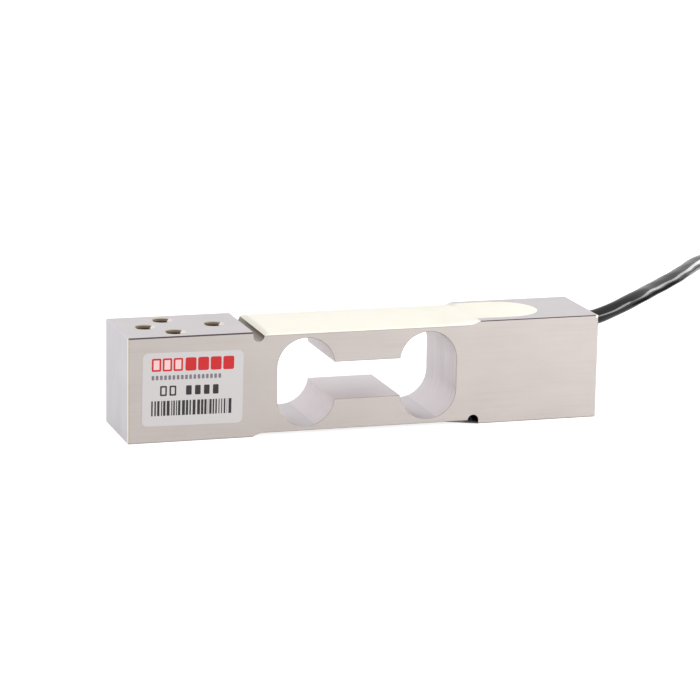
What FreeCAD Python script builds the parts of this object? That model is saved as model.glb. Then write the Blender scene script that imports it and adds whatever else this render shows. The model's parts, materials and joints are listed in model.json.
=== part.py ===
# Single point load cell: a machined stainless bar with a two-lobed window, four bonded
# strain gauges on its thin walls, a trimming board in a potted pocket and a cable.
# Millimetres. X runs along the bar towards the cable end, the label is on the -Y side and
# +Z is up. The origin is in the middle of the underside that the two end blocks rest on.

import FreeCAD, Part

import math
import os

import Sketcher
from FreeCAD import Placement, Rotation, Vector

SIZES = {
    # the machined bar
    "body_length": "150",
    "body_width": "29",
    "body_height": "32.5",
    "block_length": "38.8",
    "recess_depth": "1.2",
    "relief_radius": "1.75",
    "blend_radius": "8",
    "edge_break": "0.25",
    # the window that leaves four thin walls
    "lobe_radius": "9.1",
    "lobe_spacing": "39",
    "thin_wall": "1.3",
    "slot_height": "11.6",
    "window_break": "0.15",
    # the pocket in the fixed block, its tongue of compound and the cable bore
    "pocket_width": "21",
    "pocket_depth": "8.2",
    "pocket_setback": "2.6",
    "pocket_corner": "3",
    "pocket_end_wall": "15.6",
    "passage_radius": "1.1",
    "cable_radius": "2.4",
    "cable_drop": "4.5",
    "bore_clearance": "0.15",
    "bush_wall": "0.9",
    "bush_depth": "6",
    "bush_flare": "1.2",
    "bush_mouth": "0.54",
    # tapped holes, four in the top of the live block and four under the fixed block
    "tap_radius": "2.5",
    "mouth_radius": "3.4",
    "tap_depth": "15",
    "row_pitch": "21.5",
    "pair_pitch": "16.6",
    "pair_setback": "16",
    # strain gauges
    "film_length": "10",
    "film_width": "6.6",
    "film_thickness": "0.1",
    "film_shift": "1.4",
    "foil_thickness": "0.08",
    "strand_length": "4.2",
    "strand_width": "0.26",
    "strand_gap": "0.26",
    "strand_count": "8",
    "tab_length": "1.6",
    "tab_width": "1.3",
    # solder strips and fine wires
    "strip_length": "9",
    "strip_width": "5",
    "strip_thickness": "0.2",
    "wire_radius": "0.12",
    "wire_pitch": "0.45",
    "wire_start": "2.1",
    "wire_spread": "1.9",
    "wire_margin": "0.5",
    "wire_hold": "1.5",
    # the trimming board
    "board_length": "10.5",
    "board_width": "14",
    "board_thickness": "1",
    "board_clearance": "0.6",
    "pad_thickness": "0.4",
    "resistor_length": "3.2",
    "resistor_width": "1.6",
    "resistor_height": "0.6",
    "resistor_pitch": "3.4",
    "resistor_setback": "2.4",
    "landing_pitch": "1.7",
    "landing_setback": "0.8",
    # cable end in the pocket
    "core_radius": "0.62",
    "core_spread": "0.75",
    "core_pitch": "3.2",
    "core_lead_out": "1.2",
    "core_landing": "3.6",
    "core_overlap": "0.4",
    "stop_wall": "0.9",
    "stop_length": "2",
    "stop_clearance": "0.15",
    "jacket_show": "0.4",
    # potting compound
    "potting_edge": "0.42",
    "potting_crown": "0.43",
    "potting_root": "0.5",
    "potting_ramp": "10",
    "potting_feather": "2.5",
    # the label
    "label_width": "31.2",
    "label_height": "22.5",
    "label_corner": "1.7",
    "label_thickness": "0.1",
    "label_setback": "4.45",
    "label_rise": "5.05",
    "label_tilt": "0.75",
    # the stored coil of cable
    "coil_x": "176.5",
    "coil_y": "36",
    "coil_radius": "28",
    "coil_columns": "4",
    "coil_layers": "3",
    "coil_pitch": "4.9",
    "tie_thickness": "0.8",
    "tie_width": "4",
    # the stripped far end
    "sleeve_wall": "0.5",
    "sleeve_grip": "7",
    "sleeve_reach": "6",
    "lead_bore": "1.95",
    "drain_radius": "0.4",
}

# Route of the cable from inside the bush to the coil, then from the coil to its stripped end.
RUN_POINTS = [
    (70.2, 0, 28), (77.1, 0, 28), (83.8, 1.1, 29.4), (96.2, 6.6, 32.6), (107, 19, 32.5),
    (122, 33, 33.7), (139, 55, 33.8), (151, 66.5, 30.3), (167, 73.5, 25.5), (184.5, 72.5, 21.3),
    (199.5, 64, 18.8), (208.5, 51, 17.85),
]
TAIL_POINTS = [(183.48, -3.59, 3.2), (170.5, -5.95, 3), (156.5, -6.4, 3)]

# Where each flying lead goes after the sleeve: along the cable's end, sideways and up.
LEAD_POINTS = {
    "lead_red": [(7.5, -0.75, 3.75), (17, -3.8, 0.8), (26, -4.8, 0.66), (33, -6.6, 0.66)],
    "lead_black": [(6.5, -0.75, 2.25), (13.5, -1.2, 0.72), (21.5, -1.4, 0.66), (28, -2.4, 0.66)],
    "lead_green": [(6.5, 0.75, 2.25), (13.5, 1.4, 0.72), (21.5, 2.2, 0.66), (27.5, 1.9, 0.66)],
    "lead_white": [(7.5, 0.75, 3.75), (17, 4.2, 0.8), (26, 4.8, 0.66), (33, 6, 0.66)],
    "lead_drain": [(7.5, 0, 3), (16, 0.1, 0.55), (24, 0.4, 0.44), (29.5, -0.4, 0.44)],
}

# Which way from the coil's middle each tie lies, in degrees.
TIE_BEARINGS = {"coil_tie_near": -32, "coil_tie_far": 195}

# How many flats stand for the round of the cable, of its cores and of a hair-fine wire.
CABLE_FLATS = 12
CORE_FLATS = 8
FINE_FLATS = 6

# How near two measured places are when they count as one, and how far inside an edge has to be.
SAME = 1e-4
INSIDE = 0.1


class Size:
    """A length or count with its value and the spreadsheet formula that gives it."""

    def __init__(self, value, formula):
        self.value = value
        self.formula = formula

    def combine(self, other, sign, result):
        other = other if isinstance(other, Size) else Size(float(other), f"{other}")
        return Size(result(self.value, other.value), f"({self.formula} {sign} {other.formula})")

    def __add__(self, other):
        return self.combine(other, "+", lambda a, b: a + b)

    def __sub__(self, other):
        return self.combine(other, "-", lambda a, b: a - b)

    def __mul__(self, other):
        return self.combine(other, "*", lambda a, b: a * b)

    def __truediv__(self, other):
        return self.combine(other, "/", lambda a, b: a / b)

    def __neg__(self):
        return self * -1

    def root(self):
        return Size(math.sqrt(self.value), f"sqrt({self.formula})")


ZERO = Size(0.0, "0")
DEGREES = 180 / math.pi

document = FreeCAD.newDocument("load_cell")
sheet = document.addObject("Spreadsheet::Sheet", "Sizes")
for row, (alias, number) in enumerate(SIZES.items(), 1):
    sheet.set(f"A{row}", alias)
    sheet.set(f"B{row}", number)
    sheet.setAlias(f"B{row}", alias)
document.recompute()


def size(alias):
    return Size(float(sheet.get(alias)), f"Sizes.{alias}")


# Places that several pieces share

half_length = size("body_length") / 2
half_width = size("body_width") / 2
height = size("body_height")
block_face = half_length - size("block_length")
top_floor = height - size("recess_depth")
under_floor = size("recess_depth")
relief = size("relief_radius")
blend = size("blend_radius")
recess = size("recess_depth")
blend_run = (blend * recess * 2 - recess * recess).root()
lobe_x = size("lobe_spacing") / 2

tip_radius = size("pocket_width") / 2
tip_x = half_length - size("pocket_end_wall") - tip_radius
pocket_x = block_face + size("pocket_setback")
pocket_floor = height - size("pocket_depth")
bore_z = height - size("cable_drop")
cable_radius = size("cable_radius")
bush_radius = cable_radius + size("bush_wall")
passage_x = (lobe_x + size("lobe_radius") + block_face - relief * 2) / 2

stop_radius = cable_radius + size("stop_wall")
stop_end = tip_x + (tip_radius * tip_radius - stop_radius * stop_radius).root() - size("stop_clearance")
stop_start = stop_end - size("stop_length")
jacket_end = stop_start - size("jacket_show")

board_x = pocket_x + size("board_clearance")
board_floor = pocket_floor + size("pad_thickness")
board_top = board_floor + size("board_thickness")

film_top = size("film_thickness")
foil_top = film_top + size("foil_thickness")
wire_radius = size("wire_radius")
wire_rise = size("strip_thickness") + wire_radius

coil_across = size("coil_pitch") * (size("coil_columns") - 1) + cable_radius * 2
coil_tall = size("coil_pitch") * (size("coil_layers") - 1) + cable_radius * 2
coil_base = size("tie_thickness")


# Tools of the drawing board

def bind(thing, name, value):
    thing.setExpression(name, value.formula)


def new_body(label):
    body = document.addObject("PartDesign::Body", label)
    body.Label = label
    return body


def new_feature(label, shape, place=None):
    feature = document.addObject("Part::Feature", label)
    feature.Label = label
    feature.Shape = shape
    if place:
        feature.Placement = place
    return feature


def new_sketch(body, role, name, lift=None, turned=False):
    """A sketch on one of the body's origin planes, lifted off it or turned to face down."""
    plane = next(item for item in body.Origin.OriginFeatures if item.Role == role)
    sketch = body.newObject("Sketcher::SketchObject", name)
    sketch.AttachmentSupport = [(plane, "")]
    sketch.MapMode = "FlatFace"
    if turned:
        sketch.AttachmentOffset = Placement(Vector(), Rotation(Vector(1, 0, 0), 180))
    if lift:
        bind(sketch, "AttachmentOffset.Base.z", lift)
    return sketch


def fix(sketch, item, spot, direction, place):
    """Ties one coordinate of a point of the sketch to a formula, or to an axis where it is zero."""
    if abs(place.value) < 1e-9:
        axis = -2 if direction == "X" else -1
        sketch.addConstraint(Sketcher.Constraint("PointOnObject", item, spot, axis))
        return
    kind = f"Distance{direction}"
    index = sketch.addConstraint(Sketcher.Constraint(kind, -1, 1, item, spot, place.value))
    name = f"{direction}{item}_{spot}"
    sketch.renameConstraint(index, name)
    bind(sketch, f"Constraints.{name}", place)


def draw_loop(sketch, corners):
    """A closed outline. A corner is (x, y), or (x, y, (centre x, centre y), side) where an arc
    leaves it: side 1 turns left round the centre and side -1 turns right."""
    first = sketch.GeometryCount
    ends = []
    for index, corner in enumerate(corners):
        after = corners[(index + 1) % len(corners)]
        start = Vector(corner[0].value, corner[1].value, 0)
        end = Vector(after[0].value, after[1].value, 0)
        if len(corner) == 2:
            sketch.addGeometry(Part.LineSegment(start, end), False)
            ends.append((1, 2))
            continue
        centre = Vector(corner[2][0].value, corner[2][1].value, 0)
        points = (start, end) if corner[3] > 0 else (end, start)
        angles = [math.atan2(point.y - centre.y, point.x - centre.x) for point in points]
        circle = Part.Circle(centre, Vector(0, 0, 1), (start - centre).Length)
        sketch.addGeometry(Part.ArcOfCircle(circle, angles[0], angles[1]), False)
        ends.append((1, 2) if corner[3] > 0 else (2, 1))
    for index, corner in enumerate(corners):
        item = first + index
        after = (index + 1) % len(corners)
        meeting = (item, ends[index][1], first + after, ends[after][0])
        sketch.addConstraint(Sketcher.Constraint("Coincident", *meeting))
        fix(sketch, item, ends[index][0], "X", corner[0])
        fix(sketch, item, ends[index][0], "Y", corner[1])
        if len(corner) == 4:
            follower = corners[after]
            upright = abs(follower[1].value - corner[1].value) > abs(follower[0].value - corner[0].value)
            if upright:
                fix(sketch, item, 3, "X", corner[2][0])
            else:
                fix(sketch, item, 3, "Y", corner[2][1])


def draw_circle(sketch, x, y, radius):
    item = sketch.addGeometry(Part.Circle(Vector(x.value, y.value, 0), Vector(0, 0, 1), radius.value), False)
    fix(sketch, item, 3, "X", x)
    fix(sketch, item, 3, "Y", y)
    index = sketch.addConstraint(Sketcher.Constraint("Radius", item, radius.value))
    sketch.renameConstraint(index, f"radius{item}")
    bind(sketch, f"Constraints.radius{item}", radius)


def rounded_box(left, right, low, high, radius):
    """Corners of a rectangle with rounded corners, for draw_loop."""
    west, east = left + radius, right - radius
    south, north = low + radius, high - radius
    return [
        (west, low), (east, low, (east, south), 1), (right, south), (right, north, (east, north), 1),
        (east, high), (west, high, (west, north), 1), (left, north), (left, south, (west, south), 1),
    ]


def plain_box(left, right, low, high):
    return [(left, low), (right, low), (right, high), (left, high)]


def bevelled_box(left, right, low, high, cut):
    return [
        (left + cut, low), (right - cut, low), (right, low + cut), (right, high - cut),
        (right - cut, high), (left + cut, high), (left, high - cut), (left, low + cut),
    ]


def pad(body, sketch, name, length, symmetric=False, reverse=False):
    feature = body.newObject("PartDesign::Pad", name)
    feature.Profile = sketch
    feature.Midplane = symmetric
    feature.Reversed = reverse
    bind(feature, "Length", length)
    return feature


def pocket(body, sketch, name, length, symmetric=False):
    feature = body.newObject("PartDesign::Pocket", name)
    feature.Profile = sketch
    feature.Midplane = symmetric
    bind(feature, "Length", length)
    return feature


def revolve(body, sketch, name, axis):
    turn = body.newObject("PartDesign::Revolution", name)
    turn.Profile = sketch
    turn.ReferenceAxis = (sketch, [axis])
    return turn


def box(label, corner, spans):
    """A Part::Box whose low corner and spans are bound to the sheet."""
    block = document.addObject("Part::Box", label)
    block.Label = label
    for name, span in zip(("Length", "Width", "Height"), spans):
        bind(block, name, span)
    for name, place in zip("xyz", corner):
        bind(block, f"Placement.Base.{name}", place)
    return block


def point(x, y, z):
    """A vector from sizes and plain numbers."""
    return Vector(*(item.value if isinstance(item, Size) else item for item in (x, y, z)))


def section_at(start, towards, radius, flats):
    """The section of a wire or cable, its corners on the round one's circle."""
    run = (towards - start).normalize()
    aside = run.cross(Vector(0, 0, 1)).normalize()
    corners = []
    for corner in range(flats + 1):
        angle = 2 * math.pi * corner / flats
        offset = aside * math.cos(angle) + aside.cross(run) * math.sin(angle)
        corners.append(start + offset * radius)
    return Part.makePolygon(corners)


def mitred_wire(points, radius, flats):
    """A wire along straight runs that meet in mitres."""
    section = section_at(points[0], points[1], radius, flats)
    return Part.makePolygon(points).makePipeShell([section], True, False, 1)


def core_wire(points, radius):
    return mitred_wire(points, radius, CORE_FLATS)


def fine_wire(points):
    """A hair-fine wire whose flats, and not its corners, are its radius from its axis."""
    return mitred_wire(points, wire_radius.value / math.cos(math.pi / FINE_FLATS), FINE_FLATS)


def rounded_path(points, label):
    """Straight runs joined by tangent arcs, each as large as its two runs allow."""
    edges = []
    radii = []
    here = points[0]
    for before, corner, after in zip(points, points[1:], points[2:]):
        back, on = before - corner, after - corner
        tangent = 0.45 * min(back.Length, on.Length)
        half_turn = (math.pi - back.getAngle(on)) / 2
        radius = tangent / math.tan(half_turn)
        radii.append(radius)
        back.normalize()
        on.normalize()
        inwards = (back + on).normalize()
        middle = corner + inwards * (radius / math.cos(half_turn) - radius)
        edges.append(Part.LineSegment(here, corner + back * tangent).toShape())
        here = corner + on * tangent
        edges.append(Part.Arc(corner + back * tangent, middle, here).toShape())
    edges.append(Part.LineSegment(here, points[-1]).toShape())
    print(label, "radii", ", ".join(f"{radius:.1f}" for radius in radii))
    return Part.Wire(edges)


def cord(label, points, radius):
    """A cable or lead along a route, checked against its section times its length."""
    path = rounded_path(points, label)
    section = section_at(points[0], points[1], radius, CABLE_FLATS)
    solid = path.makePipeShell([section], True, False)
    expected = Part.Face(section).Area * path.Length
    print(f"{label} length {path.Length:.1f} volume {solid.Volume:.1f} expected {expected:.1f}")
    return new_feature(label, solid)


# The machined bar

def bar_outline():
    """The bar from the front: the recess under it ends in a blend at the live block and a relief
    groove at the fixed block, and the one on top is the same turned half round."""
    low = [
        (-half_length, ZERO),
        (-block_face, ZERO, (blend_run - block_face, recess - blend), -1),
        (blend_run - block_face, recess),
        (block_face - relief * 2, recess, (block_face - relief, recess), -1),
        (block_face, recess),
        (block_face, ZERO),
        (half_length, ZERO),
    ]
    high = []
    for corner in low:
        turned = (-corner[0], height - corner[1])
        if len(corner) == 4:
            turned += ((-corner[2][0], height - corner[2][1]), corner[3])
        high.append(turned)
    return low + high


def lobe_outline(x):
    radius = size("lobe_radius")
    low = under_floor + size("thin_wall") + radius
    high = top_floor - size("thin_wall") - radius
    return [
        (x - radius, low, (x, low), 1), (x + radius, low),
        (x + radius, high, (x, high), 1), (x - radius, high),
    ]


def tongue_outline(start):
    """The channel from the recess into the round-ended pocket."""
    return [
        (start, -tip_radius), (tip_x, -tip_radius, (tip_x, ZERO), 1), (tip_x, tip_radius),
        (start, tip_radius),
    ]


def pocket_outline():
    radius = size("pocket_corner")
    inner, side = pocket_x + radius, tip_radius - radius
    return [
        (inner, -tip_radius), (tip_x, -tip_radius, (tip_x, ZERO), 1), (tip_x, tip_radius),
        (inner, tip_radius, (inner, side), 1), (pocket_x, side),
        (pocket_x, -side, (inner, -side), 1),
    ]


def tapped_holes(body, name, centres, lift=None, turned=False):
    """Blind tapped holes with a drilled point and a countersunk mouth."""
    sketch = new_sketch(body, "XY_Plane", f"{name}_centres", lift, turned)
    for x, y in centres:
        draw_circle(sketch, x, y, size("tap_radius"))
    document.recompute()
    hole = body.newObject("PartDesign::Hole", name)
    hole.Profile = sketch
    document.recompute()
    hole.ThreadType = "None"
    hole.DepthType = "Dimension"
    bind(hole, "Depth", size("tap_depth"))
    bind(hole, "Diameter", size("tap_radius") * 2)
    hole.HoleCutType = "Countersink"
    bind(hole, "HoleCutDiameter", size("mouth_radius") * 2)
    hole.HoleCutCountersinkAngle = 90
    hole.DrillPoint = "Angled"
    hole.DrillPointAngle = 118
    hole.DrillForDepth = False


def outer_edges(shape):
    """Names of the edges where two of the bar's outer faces meet."""
    planes = [
        ("x", half_length.value), ("x", -half_length.value), ("y", half_width.value),
        ("y", -half_width.value), ("z", 0.0), ("z", height.value),
    ]
    names = []
    for number, edge in enumerate(shape.Edges, 1):
        ends = [vertex.Point for vertex in edge.Vertexes]
        touched = [
            1 for axis, level in planes if all(abs(getattr(end, axis) - level) < SAME for end in ends)
        ]
        if len(touched) == 2:
            names.append(f"Edge{number}")
    return names


def window_edges(shape):
    """Names of the window's edges in the front and back faces."""
    reach = lobe_x.value + size("lobe_radius").value + INSIDE
    names = []
    for number, edge in enumerate(shape.Edges, 1):
        bounds = edge.BoundBox
        flat = bounds.YLength < SAME and abs(abs(bounds.YMin) - half_width.value) < SAME
        inside = bounds.ZMin > under_floor.value + INSIDE and bounds.ZMax < top_floor.value - INSIDE
        if flat and inside and max(abs(bounds.XMin), abs(bounds.XMax)) < reach:
            names.append(f"Edge{number}")
    return names


def break_edges(body, name, pick, amount):
    document.recompute()
    base = body.Tip
    feature = body.newObject("PartDesign::Chamfer", name)
    feature.Base = (base, pick(base.Shape))
    bind(feature, "Size", amount)
    body.Tip = feature


def make_elastic_body():
    body = new_body("elastic_body")
    outline = new_sketch(body, "XZ_Plane", "bar_outline")
    draw_loop(outline, bar_outline())
    pad(body, outline, "bar", size("body_width"), symmetric=True)

    lobes = new_sketch(body, "XZ_Plane", "lobe_outlines")
    draw_loop(lobes, lobe_outline(-lobe_x))
    draw_loop(lobes, lobe_outline(lobe_x))
    pocket(body, lobes, "lobes", size("body_width") * 2, symmetric=True)

    slot = new_sketch(body, "XZ_Plane", "slot_outline")
    middle, half_slot = height / 2, size("slot_height") / 2
    draw_loop(slot, plain_box(-lobe_x, lobe_x, middle - half_slot, middle + half_slot))
    pocket(body, slot, "slot", size("body_width") * 2, symmetric=True)

    tongue = new_sketch(body, "XY_Plane", "tongue_outline", height)
    draw_loop(tongue, tongue_outline(block_face - blend_run))
    pocket(body, tongue, "tongue_channel", recess)

    well = new_sketch(body, "XY_Plane", "pocket_outline", height)
    draw_loop(well, pocket_outline())
    pocket(body, well, "board_pocket", size("pocket_depth"))

    passage = new_sketch(body, "XY_Plane", "passage_outline", height)
    draw_circle(passage, passage_x, ZERO, size("passage_radius"))
    pocket(body, passage, "wire_passage", height)

    bore = new_sketch(body, "YZ_Plane", "bore_outline", half_length)
    draw_circle(bore, ZERO, bore_z, cable_radius + size("bore_clearance"))
    pocket(body, bore, "cable_bore", size("pocket_end_wall") + tip_radius)

    seat = new_sketch(body, "YZ_Plane", "seat_outline", half_length)
    draw_circle(seat, ZERO, bore_z, bush_radius)
    pocket(body, seat, "bush_seat", size("bush_depth"))

    half_row, half_pair = size("row_pitch") / 2, size("pair_pitch") / 2
    row_middle = half_length - size("block_length") / 2
    pair_x = half_length - size("pair_setback")
    live = [
        (-row_middle - half_row, ZERO), (half_row - row_middle, ZERO),
        (-pair_x, half_pair), (-pair_x, -half_pair),
    ]
    fixed = [
        (row_middle - half_row, ZERO), (row_middle + half_row, ZERO),
        (pair_x, half_pair), (pair_x, -half_pair),
    ]
    tapped_holes(body, "live_taps", live, lift=height)
    tapped_holes(body, "fixed_taps", fixed, turned=True)
    break_edges(body, "outer_breaks", outer_edges, size("edge_break"))
    break_edges(body, "window_breaks", window_edges, size("window_break"))
    return body


# Strain gauges and their wiring

def gauge_place(side, under):
    """Turns a gauge drawn with its tabs towards -X to one of the four thin walls."""
    spin = Rotation(Vector(0, 0, 1), 0 if side > 0 else 180)
    if under:
        flip = Rotation(Vector(1, 0, 0), 180)
        return Placement(point(lobe_x * side, 0, under_floor), flip * spin)
    return Placement(point(lobe_x * side, 0, top_floor), spin)


def film_shape():
    half = size("film_width").value / 2
    length = size("film_length").value
    left = -length / 2 - size("film_shift").value
    return Part.makeBox(length, 2 * half, film_top.value, Vector(left, -half, 0))


def foil_shape():
    """The etched grid: one ribbon that runs to and fro, with a solder tab at each end."""
    count = int(size("strand_count").value)
    pitch = size("strand_width").value + size("strand_gap").value
    half_length_of_grid = size("strand_length").value / 2
    half_strand, thickness = size("strand_width").value / 2, size("foil_thickness").value
    level = film_top.value + thickness / 2
    tab_x = -half_length_of_grid - size("tab_length").value / 2
    turns = []
    for strand in range(count):
        y = (strand - (count - 1) / 2) * pitch
        there, back = (-half_length_of_grid, half_length_of_grid)
        if strand % 2:
            there, back = back, there
        turns += [Vector(there, y, level), Vector(back, y, level)]
    turns[0].x = turns[-1].x = tab_x
    start = turns[0]
    profile = Part.makePolygon([
        start + Vector(0, -half_strand, -thickness / 2), start + Vector(0, half_strand, -thickness / 2),
        start + Vector(0, half_strand, thickness / 2), start + Vector(0, -half_strand, thickness / 2),
        start + Vector(0, -half_strand, -thickness / 2),
    ])
    ribbon = Part.makePolygon(turns).makePipeShell([profile], True, False, 1)
    tab_length, tab_width = size("tab_length").value, size("tab_width").value
    tabs = [
        Part.makeBox(tab_length, tab_width, thickness,
                     Vector(tab_x - tab_length / 2, sign * abs(start.y) - tab_width / 2, film_top.value))
        for sign in (-1, 1)
    ]
    return ribbon.fuse(tabs).removeSplitter()


def make_gauges():
    film, foil = film_shape(), foil_shape()
    made = {}
    for level, under in (("top", False), ("bottom", True)):
        for end, side in (("live", -1), ("fixed", 1)):
            place = gauge_place(side, under)
            film_node, grid_node = f"gauge_film_{level}_{end}", f"gauge_grid_{level}_{end}"
            made[film_node] = new_feature(film_node, film.copy(), place)
            made[grid_node] = new_feature(grid_node, foil.copy(), place)
    return made


def face_level(under, rise):
    """The height of something that stands off a recess floor by a rise."""
    return under_floor.value - rise if under else top_floor.value + rise


def make_solder_strip(level, under):
    low = under_floor - size("strip_thickness") if under else top_floor
    corner = (-size("strip_length") / 2, -size("strip_width") / 2, low)
    spans = (size("strip_length"), size("strip_width"), size("strip_thickness"))
    return box(f"solder_strip_{level}", corner, spans)


def make_bridge_wires(level, under):
    """Two wires from the tabs of each gauge to the near end of the solder strip."""
    pitch = size("strand_width").value + size("strand_gap").value
    tab_y = (size("strand_count").value - 1) / 2 * pitch
    tab_x = lobe_x.value - size("strand_length").value / 2 - size("tab_length").value / 2
    strip_x = size("strip_length").value / 2
    radius = wire_radius.value
    tab_level = face_level(under, foil_top.value + radius)
    strip_level = face_level(under, wire_rise.value)
    wires = []
    for side in (-1, 1):
        for sign in (-1, 1):
            wires.append(fine_wire([
                Vector(side * tab_x, sign * tab_y, tab_level),
                Vector(side * (tab_x - 2 * radius - size("tab_length").value), sign * tab_y, strip_level),
                Vector(side * (strip_x - size("wire_hold").value), sign * tab_y, strip_level),
            ]))
    return new_feature(f"bridge_wires_{level}", Part.makeCompound(wires))


def lane(number):
    """How far to the side feed wire number 0 to 3 passes the gauge."""
    return size("film_width").value / 2 + size("wire_margin").value + number * size("wire_pitch").value


def past_gauge(number, level):
    """A feed wire from its end on the solder strip to where it has passed the gauge."""
    start = Vector((1.5 - number) * size("wire_spread").value, -size("wire_start").value, level)
    side = -lane(number)
    beyond = lobe_x.value + size("film_length").value / 2 + size("film_shift").value + number
    return [start, Vector(start.x + start.y - side, side, level), Vector(beyond, side, level)]


def into_pocket(number, level):
    """Where a feed wire, number 0 to 7, comes to the pocket, drops in and ends on the board."""
    x = board_x.value + size("landing_setback").value
    y = (number - 3.5) * size("landing_pitch").value
    brink = Vector(board_x.value, y, level)
    return [brink, Vector(x, y, (level + board_top.value) / 2), Vector(x, y, board_top.value)]


def make_feed_wires_top():
    wires = []
    level = face_level(False, wire_rise.value)
    for number in range(4):
        path = past_gauge(number, level) + into_pocket(3 - number, level)
        wires.append(fine_wire(path))
    return new_feature("feed_wires_top", Part.makeCompound(wires))


def make_feed_wires_bottom():
    """Four wires along the lower wall and up the passage, then over into the pocket."""
    wires = []
    low, high = face_level(True, wire_rise.value), face_level(False, wire_rise.value)
    for number in range(4):
        y = (1.5 - number) * size("wire_pitch").value
        column = [Vector(passage_x.value, y, low), Vector(passage_x.value, y, high)]
        path = past_gauge(number, low) + column + into_pocket(7 - number, high)
        wires.append(fine_wire(path))
    return new_feature("feed_wires_bottom", Part.makeCompound(wires))


# The trimming board and the cable's end in the pocket

def make_board():
    half = size("board_width") / 2
    spans = (size("board_length"), size("board_width"))
    made = {
        "board_pad": box("board_pad", (board_x, -half, pocket_floor), spans + (size("pad_thickness"),)),
        "circuit_board": box(
            "circuit_board", (board_x, -half, board_floor), spans + (size("board_thickness"),)),
    }
    resistors = ("span_resistor", "zero_resistor", "modulus_resistor", "input_resistor")
    for number, node in enumerate(resistors):
        y = size("resistor_pitch") * (number - 1.5) - size("resistor_width") / 2
        corner = (board_x + size("resistor_setback"), y, board_top)
        spans = (size("resistor_length"), size("resistor_width"), size("resistor_height"))
        made[node] = box(node, corner, spans)
    return made


def make_cores():
    """The four stripped cores from the jacket's end to the board."""
    spread, radius = size("core_spread").value, size("core_radius").value
    cores = {
        "core_red": (-spread, spread), "core_black": (-spread, -spread),
        "core_green": (spread, -spread), "core_white": (spread, spread),
    }
    board_end = board_x.value + size("board_length").value
    made = {}
    for number, (node, (y, rise)) in enumerate(cores.items()):
        landing_y = (number - 1.5) * size("core_pitch").value
        rest = board_top.value + radius
        made[node] = new_feature(node, core_wire([
            Vector(jacket_end.value, y, bore_z.value + rise),
            Vector(jacket_end.value - size("core_lead_out").value, y, bore_z.value + rise),
            Vector(board_end - size("core_overlap").value, landing_y, rest),
            Vector(board_end - size("core_landing").value, landing_y, rest),
        ], radius))
    return made


def make_ring(label, start, end, inner, outer):
    """A plain ring round the cable's axis in the fixed block."""
    ring = new_body(label)
    sketch = new_sketch(ring, "YZ_Plane", f"{label}_section", start)
    draw_circle(sketch, ZERO, bore_z, outer)
    draw_circle(sketch, ZERO, bore_z, inner)
    pad(ring, sketch, f"{label}_wall", end - start)
    return ring


def make_bush():
    """The rubber bush, flush with the end face, its mouth flared for the cable to bend in."""
    bush = new_body("cable_bush")
    sketch = new_sketch(bush, "XZ_Plane", "bush_section")
    bind(sketch, "AttachmentOffset.Base.y", bore_z)
    start, flare_start = half_length - size("bush_depth"), half_length - size("bush_flare")
    mouth = cable_radius + size("bush_mouth")
    draw_loop(sketch, [
        (start, cable_radius), (flare_start, cable_radius), (half_length, mouth),
        (half_length, bush_radius), (start, bush_radius),
    ])
    revolve(bush, sketch, "bush_turn", "H_Axis")
    return bush


def make_cable_stub():
    """The cable between its stripped end in the pocket and the mouth of the bush."""
    stub = document.addObject("Part::Cylinder", "cable_stub")
    stub.Label = "cable_stub"
    bind(stub, "Radius", cable_radius)
    stub.setExpression("Height", f"{RUN_POINTS[0][0]} - {jacket_end.formula}")
    stub.Placement = Placement(Vector(), Rotation(Vector(0, 1, 0), 90))
    bind(stub, "Placement.Base.x", jacket_end)
    bind(stub, "Placement.Base.z", bore_z)
    return stub


# The potting compound, cut by all that it holds

def crowned_fill(start, end, root, edge):
    """A slab across the bar with a crowned skin, from its root in the metal to its skin."""
    up = 1 if edge > root else -1
    width = half_width.value
    low = [Vector(start, side * width, root) for side in (-1, 1)]
    skin = [Vector(start, side * width, edge) for side in (1, -1)]
    crown = Vector(start, 0, edge + up * size("potting_crown").value)
    face = Part.Face(Part.Wire([
        Part.LineSegment(low[0], low[1]).toShape(), Part.LineSegment(low[1], skin[0]).toShape(),
        Part.Arc(skin[0], crown, skin[1]).toShape(), Part.LineSegment(skin[1], low[0]).toShape(),
    ]))
    return face.extrude(Vector(end - start, 0, 0))


def prism(outline, push):
    return Part.Face(Part.makePolygon(outline + outline[:1])).extrude(push)


def make_potting_top(elastic, held):
    """Fills the recess on top, rises over the blend and fills the pocket."""
    width, rooted = half_width.value, size("potting_root").value
    root, edge = top_floor.value - rooted, top_floor.value + size("potting_edge").value
    start, end = -block_face.value + 2 * relief.value, block_face.value
    slab = crowned_fill(start, end, root, edge)
    ramp_start = end - size("potting_ramp").value
    ramp = prism([
        Vector(ramp_start, -width, root), Vector(ramp_start, -width, edge),
        Vector(end, -width, height.value), Vector(end, -width, root),
    ], Vector(0, 2 * width, 0))
    deep = pocket_floor.value - rooted
    reach = half_length.value - size("bush_depth").value - end
    tongue = Part.makeBox(
        reach, 2 * tip_radius.value, height.value - deep, Vector(end, -tip_radius.value, deep))
    solid = slab.fuse([ramp, tongue]).cut([elastic.Shape] + [piece.Shape for piece in held])
    return new_feature("potting_top", largest(solid))


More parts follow.
